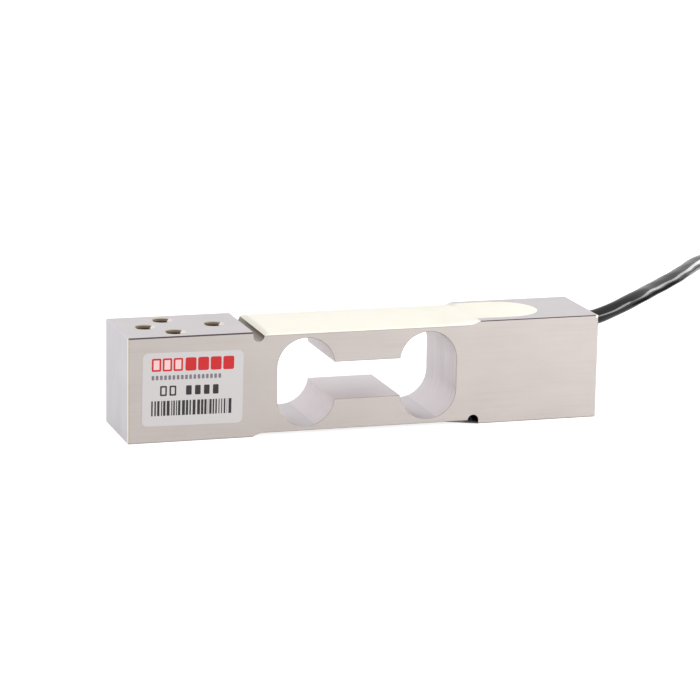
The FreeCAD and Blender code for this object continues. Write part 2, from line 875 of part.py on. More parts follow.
def make_potting_bottom(elastic, held):
    """The thin fill over the lower gauges, from the blend to the relief groove, with the column of
    compound in the wire passage, which ends under the top fill."""
    rooted = size("potting_root").value
    root, edge = under_floor.value + rooted, under_floor.value - size("potting_edge").value
    start = blend_run.value - block_face.value - size("potting_feather").value
    end = block_face.value - 2 * relief.value
    slab = crowned_fill(start, end, root, edge)
    foot = Vector(passage_x.value, 0, under_floor.value)
    tall = top_floor.value - rooted - under_floor.value
    column = Part.makeCylinder(size("passage_radius").value, tall, foot)
    solid = slab.fuse([column]).cut([elastic.Shape] + [piece.Shape for piece in held])
    return new_feature("potting_bottom", largest(solid))


def largest(shape):
    return max(shape.Solids, key=lambda solid: solid.Volume)


# The label

def make_label():
    label = new_body("adhesive_label")
    sketch = new_sketch(label, "XZ_Plane", "label_outline")
    across, up = size("label_width") / 2, size("label_height") / 2
    draw_loop(sketch, rounded_box(-across, across, -up, up, size("label_corner")))
    pad(label, sketch, "label_sheet", size("label_thickness"))
    label.Placement = Placement(Vector(), Rotation(Vector(0, 1, 0), 1))
    bind(label, "Placement.Rotation.Angle", size("label_tilt"))
    bind(label, "Placement.Base.x", size("label_setback") + across - half_length)
    bind(label, "Placement.Base.y", -half_width)
    bind(label, "Placement.Base.z", size("label_rise") + up)
    return label


# The stored coil, its ties and the stripped far end

def coil_corners(margin):
    """The section of the coil, or of a tie that goes round it by a margin. Its corners are cut
    where they touch the round cable of the outermost turns."""
    half = coil_across / 2 + margin
    middle = size("coil_radius")
    cut = (cable_radius + margin) * (2 - math.sqrt(2))
    return bevelled_box(
        middle - half, middle + half, coil_base - margin, coil_base + coil_tall + margin, cut)


def place_at_coil(body, bearing=0):
    body.Placement = Placement(Vector(), Rotation(Vector(0, 0, 1), bearing))
    bind(body, "Placement.Base.x", size("coil_x"))
    bind(body, "Placement.Base.y", size("coil_y"))
    return body


def make_coil():
    coil = new_body("cable_coil")
    section = new_sketch(coil, "XZ_Plane", "coil_section")
    draw_loop(section, coil_corners(ZERO))
    revolve(coil, section, "coil_turn", "V_Axis")
    made = {"cable_coil": place_at_coil(coil)}
    for node, bearing in TIE_BEARINGS.items():
        tie = new_body(node)
        section = new_sketch(tie, "XZ_Plane", f"{node}_section")
        draw_loop(section, coil_corners(size("tie_thickness")))
        draw_loop(section, coil_corners(ZERO))
        turn = revolve(tie, section, f"{node}_band", "V_Axis")
        turn.Midplane = True
        bind(turn, "Angle", size("tie_width") / size("coil_radius") * DEGREES)
        made[node] = place_at_coil(tie, bearing)
    return made


def end_axes():
    """The cable's far end: where it is, which way it points and the way to its side."""
    last, before = Vector(*TAIL_POINTS[-1]), Vector(*TAIL_POINTS[-2])
    along = (last - before).normalize()
    return last, along, Vector(0, 0, 1).cross(along)


def make_far_end():
    last, along, aside = end_axes()
    outer = cable_radius.value + size("sleeve_wall").value
    grip, reach = size("sleeve_grip").value, size("sleeve_reach").value
    sleeve = Part.makeCylinder(outer, grip + reach, last - along * grip, along)
    mouth = max(sleeve.Edges, key=lambda edge: edge.CenterOfMass.dot(along))
    sleeve = sleeve.makeChamfer(size("sleeve_wall").value, [mouth])
    sleeve = sleeve.cut([
        Part.makeCylinder(cable_radius.value, grip, last - along * grip, along),
        Part.makeCylinder(size("lead_bore").value, reach, last, along),
    ])
    made = {"end_sleeve": new_feature("end_sleeve", sleeve)}
    for node, steps in LEAD_POINTS.items():
        first = (0, steps[0][1], steps[0][2])
        route = []
        for distance, offset, level in [first] + steps:
            spot = last + along * distance + aside * offset
            route.append(Vector(spot.x, spot.y, level))
        radius = size("drain_radius").value if node == "lead_drain" else size("core_radius").value
        made[node] = new_feature(node, core_wire(route, radius))
    return made


def checked(nodes):
    """Stops at an object that failed or a sub-part whose shape is empty or not valid."""
    document.recompute()
    for item in document.Objects:
        if {"Invalid", "Error"} & set(item.State):
            raise RuntimeError(f"{item.Label} failed: {item.State}")
    for name, node in nodes.items():
        if node.Shape.isNull() or not node.Shape.isValid() or not node.Shape.Solids:
            raise RuntimeError(f"{name} has no valid solid")
    return nodes


def main():
    elastic = make_elastic_body()
    nodes = {"elastic_body": elastic}
    nodes.update(make_gauges())
    for level, under in (("top", False), ("bottom", True)):
        nodes[f"solder_strip_{level}"] = make_solder_strip(level, under)
        nodes[f"bridge_wires_{level}"] = make_bridge_wires(level, under)
    nodes["feed_wires_top"] = make_feed_wires_top()
    nodes["feed_wires_bottom"] = make_feed_wires_bottom()
    nodes.update(make_board())
    nodes.update(make_cores())
    nodes["pull_stop"] = make_ring("pull_stop", stop_start, stop_end, cable_radius, stop_radius)
    nodes["cable_bush"] = make_bush()
    nodes["cable_stub"] = make_cable_stub()
    document.recompute()

    held = [node for name, node in nodes.items() if name != "elastic_body"]
    top = make_potting_top(elastic, held)
    bottom = make_potting_bottom(elastic, held)
    nodes.update({"potting_top": top, "potting_bottom": bottom})

    nodes["adhesive_label"] = make_label()
    nodes["cable_run"] = cord("cable_run", [Vector(*spot) for spot in RUN_POINTS], cable_radius.value)
    nodes["cable_tail"] = cord("cable_tail", [Vector(*spot) for spot in TAIL_POINTS], cable_radius.value)
    nodes.update(make_coil())
    nodes.update(make_far_end())

    os.makedirs("parts", exist_ok=True)
    for name, node in checked(nodes).items():
        node.Shape.exportStep(f"parts/{name}.step")
        print(f"{name}: {len(node.Shape.Solids)} solid, volume {node.Shape.Volume:.3f}")


main()
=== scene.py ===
"""Looks of a single point load cell: a milled stainless bar with a potted top, a printed label and a cable.

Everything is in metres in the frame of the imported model: X runs along the bar towards the cable,
the label is on the -Y side, +Z is up and the origin is in the middle of the underside.
"""

import json
import logging
import math
import random
from dataclasses import dataclass, field, replace
from enum import Enum

import bmesh
import bpy
from mathutils import Matrix, Vector


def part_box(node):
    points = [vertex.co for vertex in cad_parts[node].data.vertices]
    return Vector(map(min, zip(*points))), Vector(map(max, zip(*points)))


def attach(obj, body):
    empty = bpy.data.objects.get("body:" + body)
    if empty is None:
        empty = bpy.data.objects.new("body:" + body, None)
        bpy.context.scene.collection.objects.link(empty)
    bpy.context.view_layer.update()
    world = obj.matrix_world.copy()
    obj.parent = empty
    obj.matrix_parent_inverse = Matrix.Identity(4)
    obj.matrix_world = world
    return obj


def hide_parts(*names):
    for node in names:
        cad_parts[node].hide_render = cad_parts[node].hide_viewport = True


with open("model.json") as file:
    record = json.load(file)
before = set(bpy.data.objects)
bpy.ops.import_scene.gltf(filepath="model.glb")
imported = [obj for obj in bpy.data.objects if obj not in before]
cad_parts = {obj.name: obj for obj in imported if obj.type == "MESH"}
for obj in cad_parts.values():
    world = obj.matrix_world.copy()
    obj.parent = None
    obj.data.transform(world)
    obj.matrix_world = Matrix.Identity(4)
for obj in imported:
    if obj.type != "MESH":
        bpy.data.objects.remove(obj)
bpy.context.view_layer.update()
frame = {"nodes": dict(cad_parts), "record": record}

MM = 0.001
BODY = "root"
# Millimetres: the length of each end block and the depth of the recesses between them.
BLOCK_LENGTH = 38.8
RECESS = 1.2
# Points nearer than this, in metres, become one.
MERGED = 1e-7
# Nearly all values of a noise texture lie between these two.
NOISE_SPAN = {"From Min": 0.3, "From Max": 0.7}

log = logging.getLogger("load_cell")


# Tools of the bench

def srgb(code: str) -> tuple[float, float, float, float]:
    """Turns an sRGB colour to linear.

    Args:
        code: six hex digits.

    Returns:
        Linear red, green, blue and an alpha of 1.
    """
    parts = [int(code[i:i + 2], 16) / 255 for i in (0, 2, 4)]
    linear = [p / 12.92 if p <= 0.04045 else ((p + 0.055) / 1.055) ** 2.4 for p in parts]
    return (*linear, 1.0)


def set_inputs(tree: bpy.types.NodeTree, node: bpy.types.Node, inputs: dict) -> None:
    """Sets a node's inputs by name or number; a value that is a socket is linked."""
    for name, value in inputs.items():
        if isinstance(value, bpy.types.NodeSocket):
            tree.links.new(value, node.inputs[name])
        else:
            node.inputs[name].default_value = value


def add_node(tree: bpy.types.NodeTree, kind: str, inputs: dict | None = None, **settings) -> bpy.types.Node:
    """Adds one node to a tree.

    Args:
        tree: the tree that gets the node.
        kind: the node's type name.
        inputs: what set_inputs gives it.
        settings: properties of the node itself.

    Returns:
        The new node.
    """
    made = tree.nodes.new(kind)
    for name, value in settings.items():
        setattr(made, name, value)
    set_inputs(tree, made, inputs or {})
    return made


def new_material(name: str) -> tuple[bpy.types.Material, bpy.types.NodeTree]:
    """A new node material and its tree, with its own shader in it."""
    made = bpy.data.materials.new(name)
    made.use_nodes = True
    return made, made.node_tree


def ease(share: float) -> float:
    """A smooth step from 0 to 1."""
    share = min(1.0, max(0.0, share))
    return share * share * (3 - 2 * share)


def linked(name: str, data: bpy.types.ID) -> bpy.types.Object:
    """Makes an object of its data and links it to the scene."""
    made = bpy.data.objects.new(name, data)
    bpy.context.scene.collection.objects.link(made)
    return made


def per_metre(millimetres: float) -> float:
    """The scale that makes a pattern on Object coordinates repeat at a real size."""
    return 1 / (millimetres * MM)


def mesh_piece(name: str, shape: bmesh.types.BMesh, smooth_below: float = 35.0) -> bpy.types.Object:
    """Makes an object of a finished bmesh, with clean outward normals.

    Args:
        name: the piece's name.
        shape: the bmesh, which is freed here.
        smooth_below: edges that turn by less than this many degrees are shaded smooth.

    Returns:
        The object, linked to the scene at the origin.
    """
    bmesh.ops.remove_doubles(shape, verts=shape.verts, dist=MERGED)
    bmesh.ops.recalc_face_normals(shape, faces=shape.faces)
    for face in shape.faces:
        face.smooth = True
    for edge in shape.edges:
        edge.smooth = len(edge.link_faces) == 2 and edge.calc_face_angle(0) < math.radians(smooth_below)
    mesh = bpy.data.meshes.new(name)
    shape.to_mesh(mesh)
    shape.free()
    return linked(name, mesh)


def new_points(made: dict) -> list[bmesh.types.BMVert]:
    """The points among what a bmesh operator made."""
    return [item for item in made["geom"] if isinstance(item, bmesh.types.BMVert)]


def to_metres(shape: bmesh.types.BMesh) -> None:
    """Scales a shape that was drawn in millimetres."""
    bmesh.ops.scale(shape, vec=(MM, MM, MM), verts=shape.verts)


def round_off(
        shape: bmesh.types.BMesh, geom: list, offset: float, segments: int, affect: str = "EDGES") -> dict:
    """Rounds edges or corners with a bevel, and gives back what that made."""
    return bmesh.ops.bevel(
        shape, geom=geom, offset=offset, segments=segments, profile=0.5, affect=affect, material=-1)


def nurbs_curve(name: str, points: list[Vector], tilts: list[float], steps: int) -> bpy.types.Object:
    """Makes an open NURBS spline of order 3 that starts and ends on its end points.

    Args:
        name: the object's name.
        points: control points in metres.
        tilts: the twist about the spline at each point, in radians.
        steps: how many segments follow each control point.

    Returns:
        The curve object, linked to the scene.
    """
    curve = bpy.data.curves.new(name, "CURVE")
    curve.dimensions = "3D"
    curve.resolution_u = steps
    curve.twist_mode = "MINIMUM"
    spline = curve.splines.new("NURBS")
    spline.points.add(len(points) - 1)
    for spot, place, tilt in zip(spline.points, points, tilts):
        spot.co = (*place, 1)
        spot.tilt = tilt
    spline.order_u = 3
    spline.use_endpoint_u = True
    spline.use_smooth = True
    return linked(name, curve)


def baked(curve: bpy.types.Object) -> bpy.types.Mesh:
    """The mesh that a curve object gives."""
    bpy.context.view_layer.update()
    graph = bpy.context.evaluated_depsgraph_get()
    return bpy.data.meshes.new_from_object(curve.evaluated_get(graph))


def tube(name: str, points: list[Vector], radius: float, steps: int = 8,
         around: int = 12) -> bpy.types.Object:
    """A round tube with closed ends along a smooth route, as a mesh.

    Args:
        name: the piece's name.
        points: control points in metres.
        radius: the tube's radius in metres.
        steps: segments for each control point.
        around: sides of the tube, a multiple of four.

    Returns:
        The mesh object, linked to the scene.
    """
    curve = nurbs_curve(f"{name}_route", points, [0.0] * len(points), steps)
    curve.data.bevel_depth = radius
    curve.data.bevel_resolution = around // 4 - 1
    curve.data.use_fill_caps = True
    shape = bmesh.new()
    shape.from_mesh(baked(curve))
    bpy.data.objects.remove(curve)
    return mesh_piece(name, shape)


# Finishes

@dataclass(frozen=True)
class Finish:
    """A plain finish: two near colours in a fine pattern, with gloss and relief of the same pattern.

    The grain, the relief and the depth of scattered light are in millimetres.
    """

    name: str
    light: str
    dark: str
    roughness: tuple[float, float] = (0.4, 0.5)
    grain: float = 0.8
    detail: float = 4.0
    raggedness: float = 0.55
    relief: float = 0.01
    metallic: float = 0.0
    ior: float = 1.5
    specular: float = 0.5
    coat: float = 0.0
    coat_roughness: float = 0.12
    subsurface: float = 0.0
    scatter: tuple[float, float, float] = (1.0, 0.8, 0.55)
    scatter_depth: float = 1.2

    def pattern(self, tree: bpy.types.NodeTree) -> bpy.types.NodeSocket:
        """The fine pattern that colour, gloss and relief follow."""
        place = add_node(tree, "ShaderNodeTexCoord").outputs["Object"]
        return add_node(tree, "ShaderNodeTexNoise", {
            "Vector": place, "Scale": per_metre(self.grain), "Detail": self.detail,
            "Roughness": self.raggedness}).outputs["Fac"]

    def material(self) -> bpy.types.Material:
        """Builds the material.

        Returns:
            The node material, named for this finish.
        """
        made, tree = new_material(self.name)
        pattern = self.pattern(tree)
        colour = add_node(tree, "ShaderNodeMix", {
            "Factor": pattern, "A": srgb(self.dark), "B": srgb(self.light)}, data_type="RGBA")
        gloss = add_node(tree, "ShaderNodeMapRange", {
            "Value": pattern, **NOISE_SPAN, "To Min": self.roughness[0], "To Max": self.roughness[1]})
        bump = add_node(tree, "ShaderNodeBump", {
            "Height": pattern, "Distance": self.relief * MM, "Strength": 1.0})
        set_inputs(tree, tree.nodes["Principled BSDF"], {
            "Base Color": colour.outputs["Result"], "Roughness": gloss.outputs[0],
            "Normal": bump.outputs[0], "Metallic": self.metallic, "IOR": self.ior,
            "Specular IOR Level": self.specular, "Coat Weight": self.coat,
            "Coat Roughness": self.coat_roughness, "Subsurface Weight": self.subsurface,
            "Subsurface Radius": self.scatter, "Subsurface Scale": self.scatter_depth * MM})
        return made


@dataclass(frozen=True)
class Zone:
    """A stretch of the bar's surface with a colour of its own.

    It lies where each named measure is between two levels. Lengths are in millimetres.
    """

    colour: str
    limits: tuple[tuple[str, float, float], ...]


# Martensitic stainless bar, milled and then ground lightly: satin and nearly even, with faint hair
# lines along the bar, upright lines on the faced ends, and sharp edges broken with a file. Light and
# shade are painted on it: dark lines along edges and by the potting, light lines on the upright end
# edges and the top right corner, dark bores and relief grooves with painted glints at the holes'
# mouths, and a painted near black shadow in the lower relief groove. The hair lines are coarser than
# ground ones, so that they show.
@dataclass(frozen=True)
class MilledStainless:
    """The finish of the bar, which follows the way each face was machined, with painted light and shade on
    its edges, holes and grooves.
    """

    name: str = "milled_stainless"
    side: str = "C0B8B4"
    flat: str = "CFC9CB"
    end: str = "D7D3D8"
    end_edge: str = "DAD6D9"
    inside: str = "D9D1D3"
    # Painted shade: a dark line round the window's edges.
    window_edge_shade: str = "B4A89E"
    # Painted shade: the upper relief groove darker than the steel, and darker still by the potting.
    groove: str = "A79E97"
    groove_shade: str = "867C72"
    # Painted shadow: the lower relief groove near black.
    lower_groove_shadow: str = "241E19"
    # Painted light and shade in the tapped holes: dark bores and mouths, lighter rings near the top and
    # painted glints on the mouths' two sides.
    bore: str = "6E6150"
    mouth: str = "584C3F"
    mouth_ring_light: str = "8A7B66"
    mouth_rim_light: str = "B5AB9A"
    mouth_left_glint: str = "CFC6B2"
    mouth_right_glint: str = "E9E4DE"
    # Painted dark reflection on the top edges and painted shade along the bottom edges.
    top_edge_dark_reflection: str = "5A5054"
    bottom_edge_shade: str = "8E8680"
    # Painted highlights on the upright edges of both ends.
    upright_edge_highlight: str = "FBF3E4"
    far_edge_highlight: str = "D8D4CD"
    # Painted shade: dark lines beside the left end's edge and under the potting.
    beside_edge_shade: str = "A99D92"
    under_fill_shade: str = "9C9286"
    # A painted highlight on the top right corner.
    corner_highlight: str = "F3F1EA"
    edge: float = 0.26
    thick_edge: float = 0.42
    edge_depth: float = 0.4
    beside: tuple[float, float] = (0.24, 0.48)
    corner: float = 0.8
    fill_line: float = 0.16
    low_line: float = 0.15
    groove_width: float = 3.5
    groove_reach: float = 3.6
    groove_lip: float = 0.3
    shade_width: float = 1.3
    shade_slack: float = 0.2
    under_slack: float = 0.1
    window_reach: float = 30.2
    window_floor: float = 3.0
    hole_inset: float = 2.0
    turn_depth: tuple[float, float] = (0.42, 0.58)
    rim_depth: float = 0.24
    glint: float = 0.56
    # The size of each pattern along the three axes, and how much fine detail it has.
    ground: tuple = ((28.0, 0.5, 0.5), 5.0)
    faced: tuple = ((2.0, 1.2, 45.0), 2.0)
    clouds: tuple = ((17.6, 11.0, 11.0), 3.0)
    raggedness: float = 0.6
    shade: tuple[float, float] = (0.972, 1.024)
    end_shade: tuple[float, float] = (0.93, 1.06)
    roughness: tuple[float, float] = (0.38, 0.44)
    relief: float = 0.002

    def lines(self, tree: bpy.types.NodeTree, place: bpy.types.NodeSocket,
              size: tuple[float, float, float], detail: float) -> bpy.types.NodeSocket:
        """Machining lines or clouds, from their real size along each axis in millimetres."""
        scale = tuple(per_metre(one) for one in size)
        shaped = add_node(tree, "ShaderNodeMapping", {"Vector": place, "Scale": scale})
        noise = add_node(tree, "ShaderNodeTexNoise", {
            "Vector": shaped.outputs[0], "Scale": 1.0, "Detail": detail, "Roughness": self.raggedness})
        return noise.outputs["Fac"]

    def zones(self) -> tuple[Zone, ...]:
        """The surfaces of the bar, each painted over those before it."""
        half, side, top = (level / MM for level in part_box("elastic_body")[1])
        block = half - BLOCK_LENGTH
        groove = block - self.groove_width
        squarely, tilted, inwards, outwards = (0.9, 2), (0.3, 0.9), (-1, 0.5), (0.3, 2)
        edge = ("facing_y", 0.3, 0.95)
        middle = ("off_x", -1, groove)
        at_end = ("off_x", half - 1, half + 1)
        above_floor = ("z", self.groove_lip, top)
        window = (("off_x", -1, self.window_reach), ("z", self.window_floor, top - self.window_floor))
        holes = (("off_x", block, half - 1), ("off_y", -1, side - self.hole_inset))
        mouth = (("facing_z", 0.5, 0.9), *holes)
        top_groove = (("facing_y", *inwards), ("z", top - self.groove_reach, top - self.groove_lip))
        at_front = (("facing_y", *outwards), ("off_y", side - self.edge_depth, side + 1))
        top_front = (("facing_z", -1, 0.9), *at_front)
        return (
            Zone(self.flat, (("facing_z", *squarely),)),
            Zone(self.end, (("facing_x", *squarely), at_end)),
            Zone(self.inside, (("facing_y", *inwards), *window)),
            # Painted shade: a dark line round the window's edges.
            Zone(self.window_edge_shade, (("facing_y", *tilted), *window)),
            # Painted shade in the tapped holes, with lighter rings and painted glints at their mouths.
            Zone(self.bore, (("facing_z", *inwards), *holes)),
            Zone(self.mouth, mouth),
            Zone(self.mouth_ring_light, (*mouth, ("depth", *self.turn_depth))),
            Zone(self.mouth_rim_light, (*mouth, ("depth", -1, self.rim_depth))),
            Zone(self.mouth_left_glint, (*mouth, ("turned_x", self.glint, 2))),
            Zone(self.mouth_right_glint, (*mouth, ("turned_x", -2, -self.glint))),
            Zone(self.end_edge, (("facing_y", -1, 0.3), ("facing_x", *tilted), at_end)),
            # Painted shade in the upper relief groove and by the potting.
            Zone(self.groove, (*top_groove, ("x", -block - self.groove_lip, -groove))),
            Zone(self.groove_shade, (
                *top_groove, ("x", -groove - self.shade_width, -groove + self.shade_slack))),
            # Painted shadow: the lower relief groove near black.
            Zone(self.lower_groove_shadow, (
                ("facing_y", *inwards), ("x", groove, block + self.under_slack),
                ("z", self.groove_lip, self.groove_reach))),
            # Painted shade: a dark line under the potting.
            Zone(self.under_fill_shade, (
                ("facing_y", *squarely), middle, ("z", top - RECESS - self.fill_line, top - RECESS))),
            # Painted shade along the bottom edges and painted dark reflections on the top edges.
            Zone(self.bottom_edge_shade, (edge, ("off_x", -1, half + 1), ("z", -1, self.edge))),
            Zone(self.bottom_edge_shade, (
                ("facing_y", *squarely), middle, ("z", RECESS, RECESS + self.low_line))),
            Zone(self.top_edge_dark_reflection, (*top_front, ("x", -half, -block), ("z", top - self.thick_edge, top + 1))),
            Zone(self.top_edge_dark_reflection, (*top_front, ("x", block, half), ("z", top - self.edge, top + 1))),
            # Painted shade: a dark line beside the left end's edge.
            Zone(self.beside_edge_shade, (
                ("facing_y", 0.95, 2), ("x", self.beside[0] - half, self.beside[1] - half))),
            # Painted highlights on the upright edges of both ends.
            Zone(self.upright_edge_highlight, (edge, above_floor, ("x", -half - 1, self.edge - half))),
            Zone(self.far_edge_highlight, (edge, above_floor, ("x", half - self.edge, half + 1))),
            # A painted highlight on the top right corner.
            Zone(self.corner_highlight, (
                *at_front, ("x", half - self.corner, half + 1), ("z", top - self.corner, top + 1))),
        )

    def measures(self, tree: bpy.types.NodeTree) -> dict[str, bpy.types.NodeSocket]:
        """What a zone's limits may name.

        Returns:
            The sockets of how squarely each way is faced, of the place in millimetres and of its depth
            under the nearer of the top and the underside.
        """
        coords = add_node(tree, "ShaderNodeTexCoord").outputs
        squareness = add_node(
            tree, "ShaderNodeVectorMath", {0: coords["Normal"]}, operation="ABSOLUTE").outputs[0]
        place = add_node(tree, "ShaderNodeVectorMath", {
            0: coords["Object"], "Scale": 1 / MM}, operation="SCALE").outputs[0]
        distance = add_node(tree, "ShaderNodeVectorMath", {0: place}, operation="ABSOLUTE").outputs[0]
        facing, turned, here, off = (
            add_node(tree, "ShaderNodeSeparateXYZ", {0: one}).outputs
            for one in (squareness, coords["Normal"], place, distance))
        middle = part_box("elastic_body")[1].z / MM / 2
        rise = add_node(tree, "ShaderNodeMath", {0: here["Z"], 1: middle}, operation="SUBTRACT").outputs[0]
        rise = add_node(tree, "ShaderNodeMath", {0: rise}, operation="ABSOLUTE").outputs[0]
        depth = add_node(tree, "ShaderNodeMath", {0: middle, 1: rise}, operation="SUBTRACT").outputs[0]
        return {
            "facing_x": facing["X"], "facing_y": facing["Y"], "facing_z": facing["Z"],
            "turned_x": turned["X"], "x": here["X"], "z": here["Z"], "off_x": off["X"], "off_y": off["Y"],
            "depth": depth, "place": coords["Object"]}

    def mask(self, tree: bpy.types.NodeTree, measures: dict, zone: Zone) -> bpy.types.NodeSocket:
        """1 inside a zone, else 0.

        Args:
            tree: the material's tree.
            measures: the sockets that the zone's limits name.
            zone: the zone.

        Returns:
            The mask's socket.
        """
        mask = None
        for name, low, high in zone.limits:
            span = {0: measures[name], 1: (low + high) / 2, 2: (high - low) / 2}
            inside = add_node(tree, "ShaderNodeMath", span, operation="COMPARE").outputs[0]
            both = {0: inside, 1: mask or 1.0}
            mask = add_node(tree, "ShaderNodeMath", both, operation="MULTIPLY").outputs[0]
        return mask

    def material(self) -> bpy.types.Material:
        """Builds the material.

        Returns:
            The node material.
        """
        made, tree = new_material(self.name)
        measures = self.measures(tree)
        place = measures["place"]
        ground, faced, clouds = (
            self.lines(tree, place, *pattern) for pattern in (self.ground, self.faced, self.clouds))
        tone = srgb(self.side)
        for zone in self.zones():
            tone = add_node(tree, "ShaderNodeMix", {
                "Factor": self.mask(tree, measures, zone), "A": tone, "B": srgb(zone.colour)},
                data_type="RGBA").outputs["Result"]
        on_end = self.mask(tree, measures, Zone(self.end, (("facing_x", 0.9, 2),)))
        grain = add_node(tree, "ShaderNodeMix", {
            "Factor": on_end, "A": ground, "B": faced}).outputs["Result"]
        depth = {
            name: add_node(tree, "ShaderNodeMix", {
                "Factor": on_end, "A": plain, "B": upright}).outputs["Result"]
            for name, plain, upright in zip(("To Min", "To Max"), self.shade, self.end_shade)}
        shade = add_node(tree, "ShaderNodeMapRange", {"Value": grain, **NOISE_SPAN, **depth}).outputs[0]
        cloudy = add_node(tree, "ShaderNodeMapRange", {
            "Value": clouds, **NOISE_SPAN, "To Min": self.shade[0], "To Max": self.shade[1]}).outputs[0]
        level = add_node(tree, "ShaderNodeMath", {0: shade, 1: cloudy}, operation="MULTIPLY").outputs[0]
        colour = add_node(tree, "ShaderNodeVectorMath", {0: tone, "Scale": level}, operation="SCALE")
        gloss = add_node(tree, "ShaderNodeMapRange", {
            "Value": grain, **NOISE_SPAN, "To Min": self.roughness[0], "To Max": self.roughness[1]})
        bump = add_node(tree, "ShaderNodeBump", {
            "Height": grain, "Distance": self.relief * MM, "Strength": 1.0})
        set_inputs(tree, tree.nodes["Principled BSDF"], {
            "Base Color": colour.outputs[0], "Roughness": gloss.outputs[0], "Normal": bump.outputs[0],
            "Metallic": 1.0})
        return made


class Slot(Enum):
    """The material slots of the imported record."""

    STEEL = "steel"
    POLYIMIDE = "polyimide"
    FOIL = "foil"
    BOARD = "board"
    WIRE = "wire"
    FOAM = "foam"
    CERAMIC = "ceramic"
    RED_CORE = "red_core"
    BLACK_CORE = "black_core"
    GREEN_CORE = "green_core"
    WHITE_CORE = "white_core"
    CRIMP = "crimp"
    RUBBER = "rubber"
    POTTING = "potting"
    LABEL = "label"
    JACKET = "jacket"
    TIE = "tie"
    SLEEVE = "sleeve"
    DRAIN = "drain"


FINISHES = {
    Slot.STEEL: MilledStainless(),
    # Etched film gauges: amber film with a satin skin, and dull copper-nickel foil on it.
    Slot.POLYIMIDE: Finish("polyimide_film", "C08434", "A86B22", (0.2, 0.3), coat=0.3),
    Slot.FOIL: Finish("etched_foil", "B0A698", "978C7E", (0.35, 0.45), 0.3, metallic=1.0),
    # Glass fibre laminate under green lacquer: its weave shows faintly.
    Slot.BOARD: Finish("lacquered_laminate", "2F6B45", "235639", (0.3, 0.4), 0.4, coat=0.3),
    Slot.WIRE: Finish("enamelled_copper", "B5652C", "96501F", (0.2, 0.3), 0.3, metallic=0.6, coat=0.5),
    Slot.FOAM: Finish("foam_pad", "E8E8E2", "D2D2CA", (0.8, 0.9), 0.4, relief=0.05),
    Slot.CERAMIC: Finish("glazed_ceramic", "35353A", "29292D", (0.2, 0.3), 0.5),
    # Extruded PVC insulation: even colour, soft gloss, faint draw lines.
    Slot.RED_CORE: Finish("red_insulation", "C4201D", "AC1613", (0.3, 0.4), 0.7, coat=0.15),
    Slot.BLACK_CORE: Finish("black_insulation", "232324", "18181A", (0.3, 0.4), 0.7, coat=0.15),
    Slot.GREEN_CORE: Finish("green_insulation", "1E8A3E", "157432", (0.3, 0.4), 0.7, coat=0.15),
    Slot.WHITE_CORE: Finish("white_insulation", "ECEBE6", "DCDAD3", (0.3, 0.4), 0.7, coat=0.15),
    Slot.CRIMP: Finish("plated_crimp", "CFC8B8", "B9B09D", (0.25, 0.35), 0.5, metallic=1.0),
    # Moulded rubber: matt, faintly grained.
    Slot.RUBBER: Finish("moulded_rubber", "2A2A2B", "1D1D1E", (0.6, 0.75), 0.25, relief=0.02),
    # Two-part urethane, poured and levelled by itself: cream, satin, a little translucent.
    Slot.POTTING: Finish(
        "cast_urethane", "FFFBEF", "FBF4E2", (0.38, 0.5), 9.0, relief=0.03, subsurface=0.15),
    # Printed polyester film: silver grey with a fine coating grain.
    Slot.LABEL: Finish("printed_film", "D0CCCC", "C9C5C5", (0.4, 0.5), 0.3, relief=0.004),
    # Extruded polyurethane jacket: deep black and smooth, so that a lamp draws one long stripe along it.
    Slot.JACKET: Finish(
        "glossy_urethane", "131314", "0E0E0F", (0.1, 0.15), 2.5, relief=0.004, specular=0.36),
    # Moulded nylon: satin black.
    Slot.TIE: Finish("moulded_nylon", "1F1F21", "161618", (0.4, 0.5), 0.4),
    # Shrunk polyolefin sleeve: satin black with fine rings.
    Slot.SLEEVE: Finish("shrunk_sleeve", "1C1C1D", "121213", (0.35, 0.45), 0.6, relief=0.03),
    # Tinned copper strands.
    Slot.DRAIN: Finish("tinned_strands", "C9C7C2", "A19E98", (0.25, 0.35), 0.25, relief=0.03, metallic=1.0),
}


class Palette:
    """Builds each finish once, when it is first asked for."""

    def __init__(self) -> None:
        """Starts with no material made."""
        self.made: dict[Slot, bpy.types.Material] = {}

    def get(self, slot: Slot) -> bpy.types.Material:
        """The material of a slot."""
        if slot not in self.made:
            self.made[slot] = FINISHES[slot].material()
        return self.made[slot]

    def dress(self, piece: bpy.types.Object, slot: Slot, *nodes: str, ink: Finish | None = None) -> None:
        """Gives a new piece its finish and fixes it to the bar.

        Args:
            piece: the piece, already in place.
            slot: the record's material slot that it stands for.
            nodes: the CAD nodes that it replaces.
            ink: a finish of its own, in place of the slot's.
        """
        piece.data.materials.clear()
        piece.data.materials.append(ink.material() if ink else self.get(slot))
        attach(piece, BODY)
        if nodes:
            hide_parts(*nodes)
        log.info("piece %s: %d faces", piece.name, len(piece.data.polygons))


# The studio

